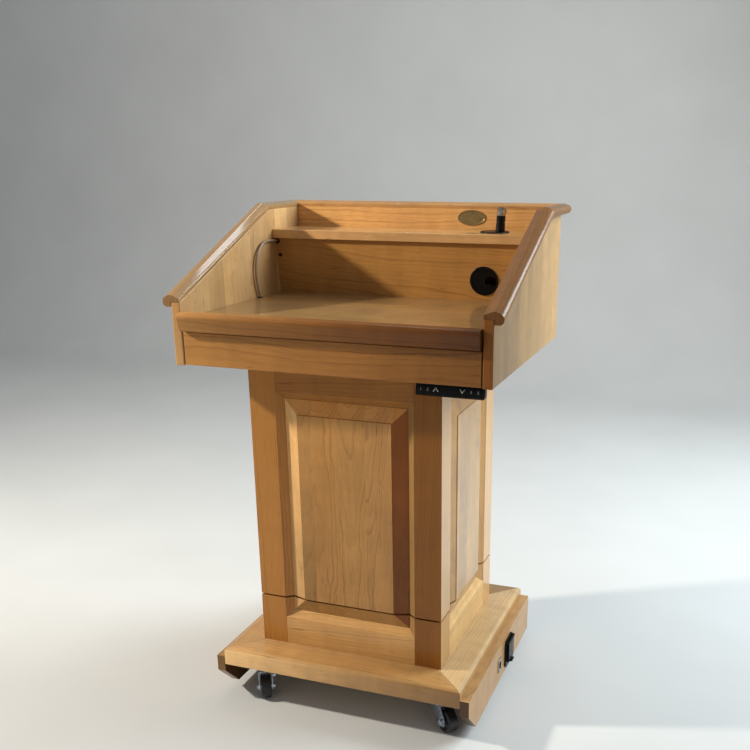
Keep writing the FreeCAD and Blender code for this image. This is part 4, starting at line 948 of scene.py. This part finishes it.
# %% [markdown]
# ## Prints on the keys
# The keypad has three memory keys, two arrows and a key to store a height. Text would stay a curve, and
# a curve can't be placed like the other pieces, so each sign is turned into a mesh first and then laid
# on its key. It rides with the key, so it goes in when the key is pressed. An arrow is six corners.

# %% Make the prints
PRINT_T = 0.06 * MM
PRINT_RISE = PRINT_T * 0.4
DIGIT_H = 5.2 * MM
ARROW_W = 10.4 * MM
ARROW_H = 7.4 * MM
ARROW_STROKE = 1.2 * MM
ARROW_FOOT = ARROW_STROKE * 1.1
ARROW_TIP = ARROW_STROKE * 1.35


def make_print_ink(name, worn_tint, fresh_tint):
    material, m, shader = new_material(name)
    place = m.add("ShaderNodeTexCoord").outputs["Object"]
    worn = m.noise(place, 1500.0, 2.0)
    tint = m.mix(worn, worn_tint + (1.0,), fresh_tint + (1.0,))
    set_surface(m, shader, tint, m.remap(worn, *NOISE_RANGE, 0.45, 0.6))
    return material


arrow_ink = make_print_ink("arrow_print", (0.40, 0.39, 0.35), (0.58, 0.57, 0.52))
digit_ink = make_print_ink("digit_print", (0.20, 0.20, 0.18), (0.34, 0.33, 0.30))


def digit_sign(sign):
    """A digit or a letter as a thin flat mesh about its own middle."""
    curve = bpy.data.curves.new("sign", "FONT")
    curve.body = sign
    curve.extrude = PRINT_T / 2
    curve.resolution_u = 4
    holder = bpy.data.objects.new("sign", curve)
    mesh = bpy.data.meshes.new_from_object(holder)
    work = bmesh.new()
    work.from_mesh(mesh)
    bpy.data.objects.remove(holder)
    bmesh.ops.remove_doubles(work, verts=work.verts, dist=MERGE)
    heights = [vertex.co.y for vertex in work.verts]
    widths = [vertex.co.x for vertex in work.verts]
    middle = Vector(((min(widths) + max(widths)) / 2, (min(heights) + max(heights)) / 2, 0.0))
    scale = DIGIT_H / (max(heights) - min(heights))
    bmesh.ops.translate(work, verts=work.verts, vec=-middle)
    bmesh.ops.scale(work, verts=work.verts, vec=(scale, scale, 1.0))
    return work


def arrow_sign(points_up):
    """An open arrow head as a thin flat mesh about its own middle."""
    work = bmesh.new()
    side = ARROW_W / 2
    top = ARROW_H / 2
    outline = ((-side, -top), (-side + ARROW_FOOT, -top), (0.0, top - ARROW_TIP),
               (side - ARROW_FOOT, -top), (side, -top), (0.0, top))
    face = work.faces.new([work.verts.new((x, y, -PRINT_T / 2)) for x, y in outline])
    grown = bmesh.ops.extrude_face_region(work, geom=[face])["geom"]
    moved = [item for item in grown if isinstance(item, bmesh.types.BMVert)]
    bmesh.ops.translate(work, verts=moved, vec=(0.0, 0.0, PRINT_T))
    bmesh.ops.recalc_face_normals(work, faces=work.faces)
    if not points_up:
        half_turn = Matrix.Rotation(math.pi, 3, "Z")
        bmesh.ops.rotate(work, verts=work.verts, cent=(0.0, 0.0, 0.0), matrix=half_turn)
    return work


def lay_on_keypad(work, outward, place):
    """Lay a flat shape on the keypad's slanting face at a place."""
    side = Vector((1.0, 0.0, 0.0))
    above = outward.cross(side)
    turn = Matrix((side, above, outward)).transposed().to_4x4()
    bmesh.ops.transform(work, matrix=Matrix.Translation(place) @ turn, verts=work.verts)


def key_face(node):
    """The middle of a key's outer face, and the way it faces."""
    outward = -Vector(JOINTS[node + "_press"]["axis"]).normalized()
    low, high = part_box(node)
    centre = (Vector(low) + Vector(high)) / 2
    top = max(outward.dot(vertex.co - centre) for vertex in frame["nodes"][node].data.vertices)
    return centre + outward * (top + PRINT_RISE), outward


SIGNS = {"key_1": "1", "key_2": "2", "key_up": "up", "key_down": "down", "key_3": "3", "key_set": "S"}
for node, sign in SIGNS.items():
    is_arrow = sign in ("up", "down")
    work = arrow_sign(sign == "up") if is_arrow else digit_sign(sign)
    place, outward = key_face(node)
    lay_on_keypad(work, outward, place)
    add_piece(work, node, arrow_ink if is_arrow else digit_ink, name=node + "_print")
print("prints:", len(SIGNS))

# %% [markdown]
# ## A plain plate
# An oval plate sits on the back board. It starts as a circle, is squashed to an oval, pulled up to its
# thickness and inset, so that a narrow rim stands round a sunk field.

# %% Make the oval plate
PLATE_PLACE = Vector((124.5, 243.0, 996.0)) * MM
PLATE_HALF = (32.0 * MM, 16.5 * MM)
PLATE_T = 1.8 * MM
PLATE_RIM = 2.4 * MM
PLATE_STEP = 0.5 * MM
PLATE_SUNK = 0.7 * MM
PLATE_EASED = 0.3 * MM


def make_plate():
    work = bmesh.new()
    bmesh.ops.create_circle(work, cap_ends=True, segments=72, radius=1.0)
    bmesh.ops.scale(work, verts=work.verts, vec=(*PLATE_HALF, 1.0))
    grown = bmesh.ops.extrude_face_region(work, geom=work.faces[:])["geom"]
    top = [item for item in grown if isinstance(item, bmesh.types.BMFace)]
    moved = list({vertex for face in top for vertex in face.verts})
    bmesh.ops.translate(work, verts=moved, vec=(0.0, 0.0, PLATE_T))
    bmesh.ops.inset_region(work, faces=top, thickness=PLATE_RIM, depth=0.0)
    bmesh.ops.inset_region(work, faces=top, thickness=PLATE_STEP, depth=-PLATE_SUNK)
    bmesh.ops.recalc_face_normals(work, faces=work.faces)
    ease_edges(work, PLATE_EASED, 3)
    stand = Matrix.Rotation(math.radians(90.0), 4, "X")
    bmesh.ops.transform(work, matrix=Matrix.Translation(PLATE_PLACE) @ stand, verts=work.verts)
    return work


add_piece(make_plate(), "back_panel", aged_brass, name="oval_plate", slot="screw_brass")
print("oval plate", round(2 * PLATE_HALF[0], 4), "by", round(2 * PLATE_HALF[1], 4), "m")

# %% [markdown]
# ## The room
# A plain pale floor that curves up into a backdrop keeps the eye on the podium. The light follows the
# photograph: a low key from the left front throws the left panel's shadow across the riser, a wide pale
# light from the right and behind brightens the faces that the key misses, and a long faint strip above
# draws the highlight along the left rail. All lamps look at the upper left corner of the riser, where
# the shadow starts.

# %% Floor, backdrop and lights
FLOOR_HALF = 6.0
BACKDROP_Y = 2.6
BACKDROP_H = 3.5
COVE_R = 0.9
COVE_STEPS = 16
PAPER_SHADES = (0.60, 0.63)
PAPER_BLUE = 0.985
PAPER_ROUGHNESS = 0.9
LAMP_TARGET = Vector((-0.30, 0.10, 1.03))
WORLD_COLOUR = (0.95, 0.97, 1.0, 1.0)
WORLD_STRENGTH = 0.33


def make_paper():
    material, m, shader = new_material("studio_paper")
    place = m.add("ShaderNodeTexCoord").outputs["Object"]
    shade = m.remap(m.noise(place, 3.0), *NOISE_RANGE, *PAPER_SHADES)
    blue = m.calc("MULTIPLY", shade, PAPER_BLUE)
    grey = m.add("ShaderNodeCombineColor", {"Red": shade, "Green": shade, "Blue": blue})
    m.put(shader.inputs["Base Color"], grey.outputs[0])
    shader.inputs["Roughness"].default_value = PAPER_ROUGHNESS
    return material


def make_stage():
    """A line across the floor and up the backdrop, swept sideways."""
    work = bmesh.new()
    near = work.verts.new((-FLOOR_HALF, -FLOOR_HALF, 0.0))
    far = work.verts.new((-FLOOR_HALF, BACKDROP_Y, 0.0))
    work.edges.new((near, far))
    turned = bmesh.ops.spin(work, geom=[far], cent=(-FLOOR_HALF, BACKDROP_Y, COVE_R),
                            axis=(1.0, 0.0, 0.0), angle=math.radians(90.0), steps=COVE_STEPS)
    top = next(item for item in turned["geom_last"] if isinstance(item, bmesh.types.BMVert))
    raised = bmesh.ops.extrude_vert_indiv(work, verts=[top])["verts"]
    bmesh.ops.translate(work, verts=raised, vec=(0.0, 0.0, BACKDROP_H))
    wide = bmesh.ops.extrude_edge_only(work, edges=work.edges[:])["geom"]
    moved = [item for item in wide if isinstance(item, bmesh.types.BMVert)]
    bmesh.ops.translate(work, verts=moved, vec=(2 * FLOOR_HALF, 0.0, 0.0))
    bmesh.ops.recalc_face_normals(work, faces=work.faces)
    for face in work.faces:
        face.smooth = True
    mesh = bpy.data.meshes.new("studio_floor")
    work.to_mesh(mesh)
    work.free()
    mesh.materials.append(make_paper())
    floor = bpy.data.objects.new("studio_floor", mesh)
    scene.collection.objects.link(floor)


def add_lamp(name, direction, distance, size, power, colour):
    """An oval lamp in a direction from the target, which it looks at."""
    data = bpy.data.lights.new(name, "AREA")
    data.shape = "ELLIPSE"
    data.size, data.size_y = size
    data.energy = power
    data.color = colour
    lamp = bpy.data.objects.new(name, data)
    aim = Vector(direction).normalized()
    turn = aim.to_track_quat("Z", "Y").to_matrix().to_4x4()
    lamp.matrix_world = Matrix.Translation(LAMP_TARGET + aim * distance) @ turn
    scene.collection.objects.link(lamp)


make_stage()
add_lamp("key", direction=(-0.807, -0.468, 0.361), distance=2.1, size=(0.15, 0.15),
         power=64.0, colour=(1.0, 0.94, 0.82))
add_lamp("window", direction=(0.86, 0.40, 0.34), distance=2.6, size=(1.9, 1.9),
         power=98.0, colour=(0.84, 0.95, 1.0))
add_lamp("skylight", direction=(-0.17, 0.37, 0.91), distance=2.3, size=(0.16, 1.3),
         power=4.0, colour=(0.88, 0.95, 1.0))
world = bpy.data.worlds.new("studio")
world.use_nodes = True
background = world.node_tree.nodes["Background"]
background.inputs["Color"].default_value = WORLD_COLOUR
background.inputs["Strength"].default_value = WORLD_STRENGTH
scene.world = world
print("lamps:", [light.name for light in bpy.data.lights])
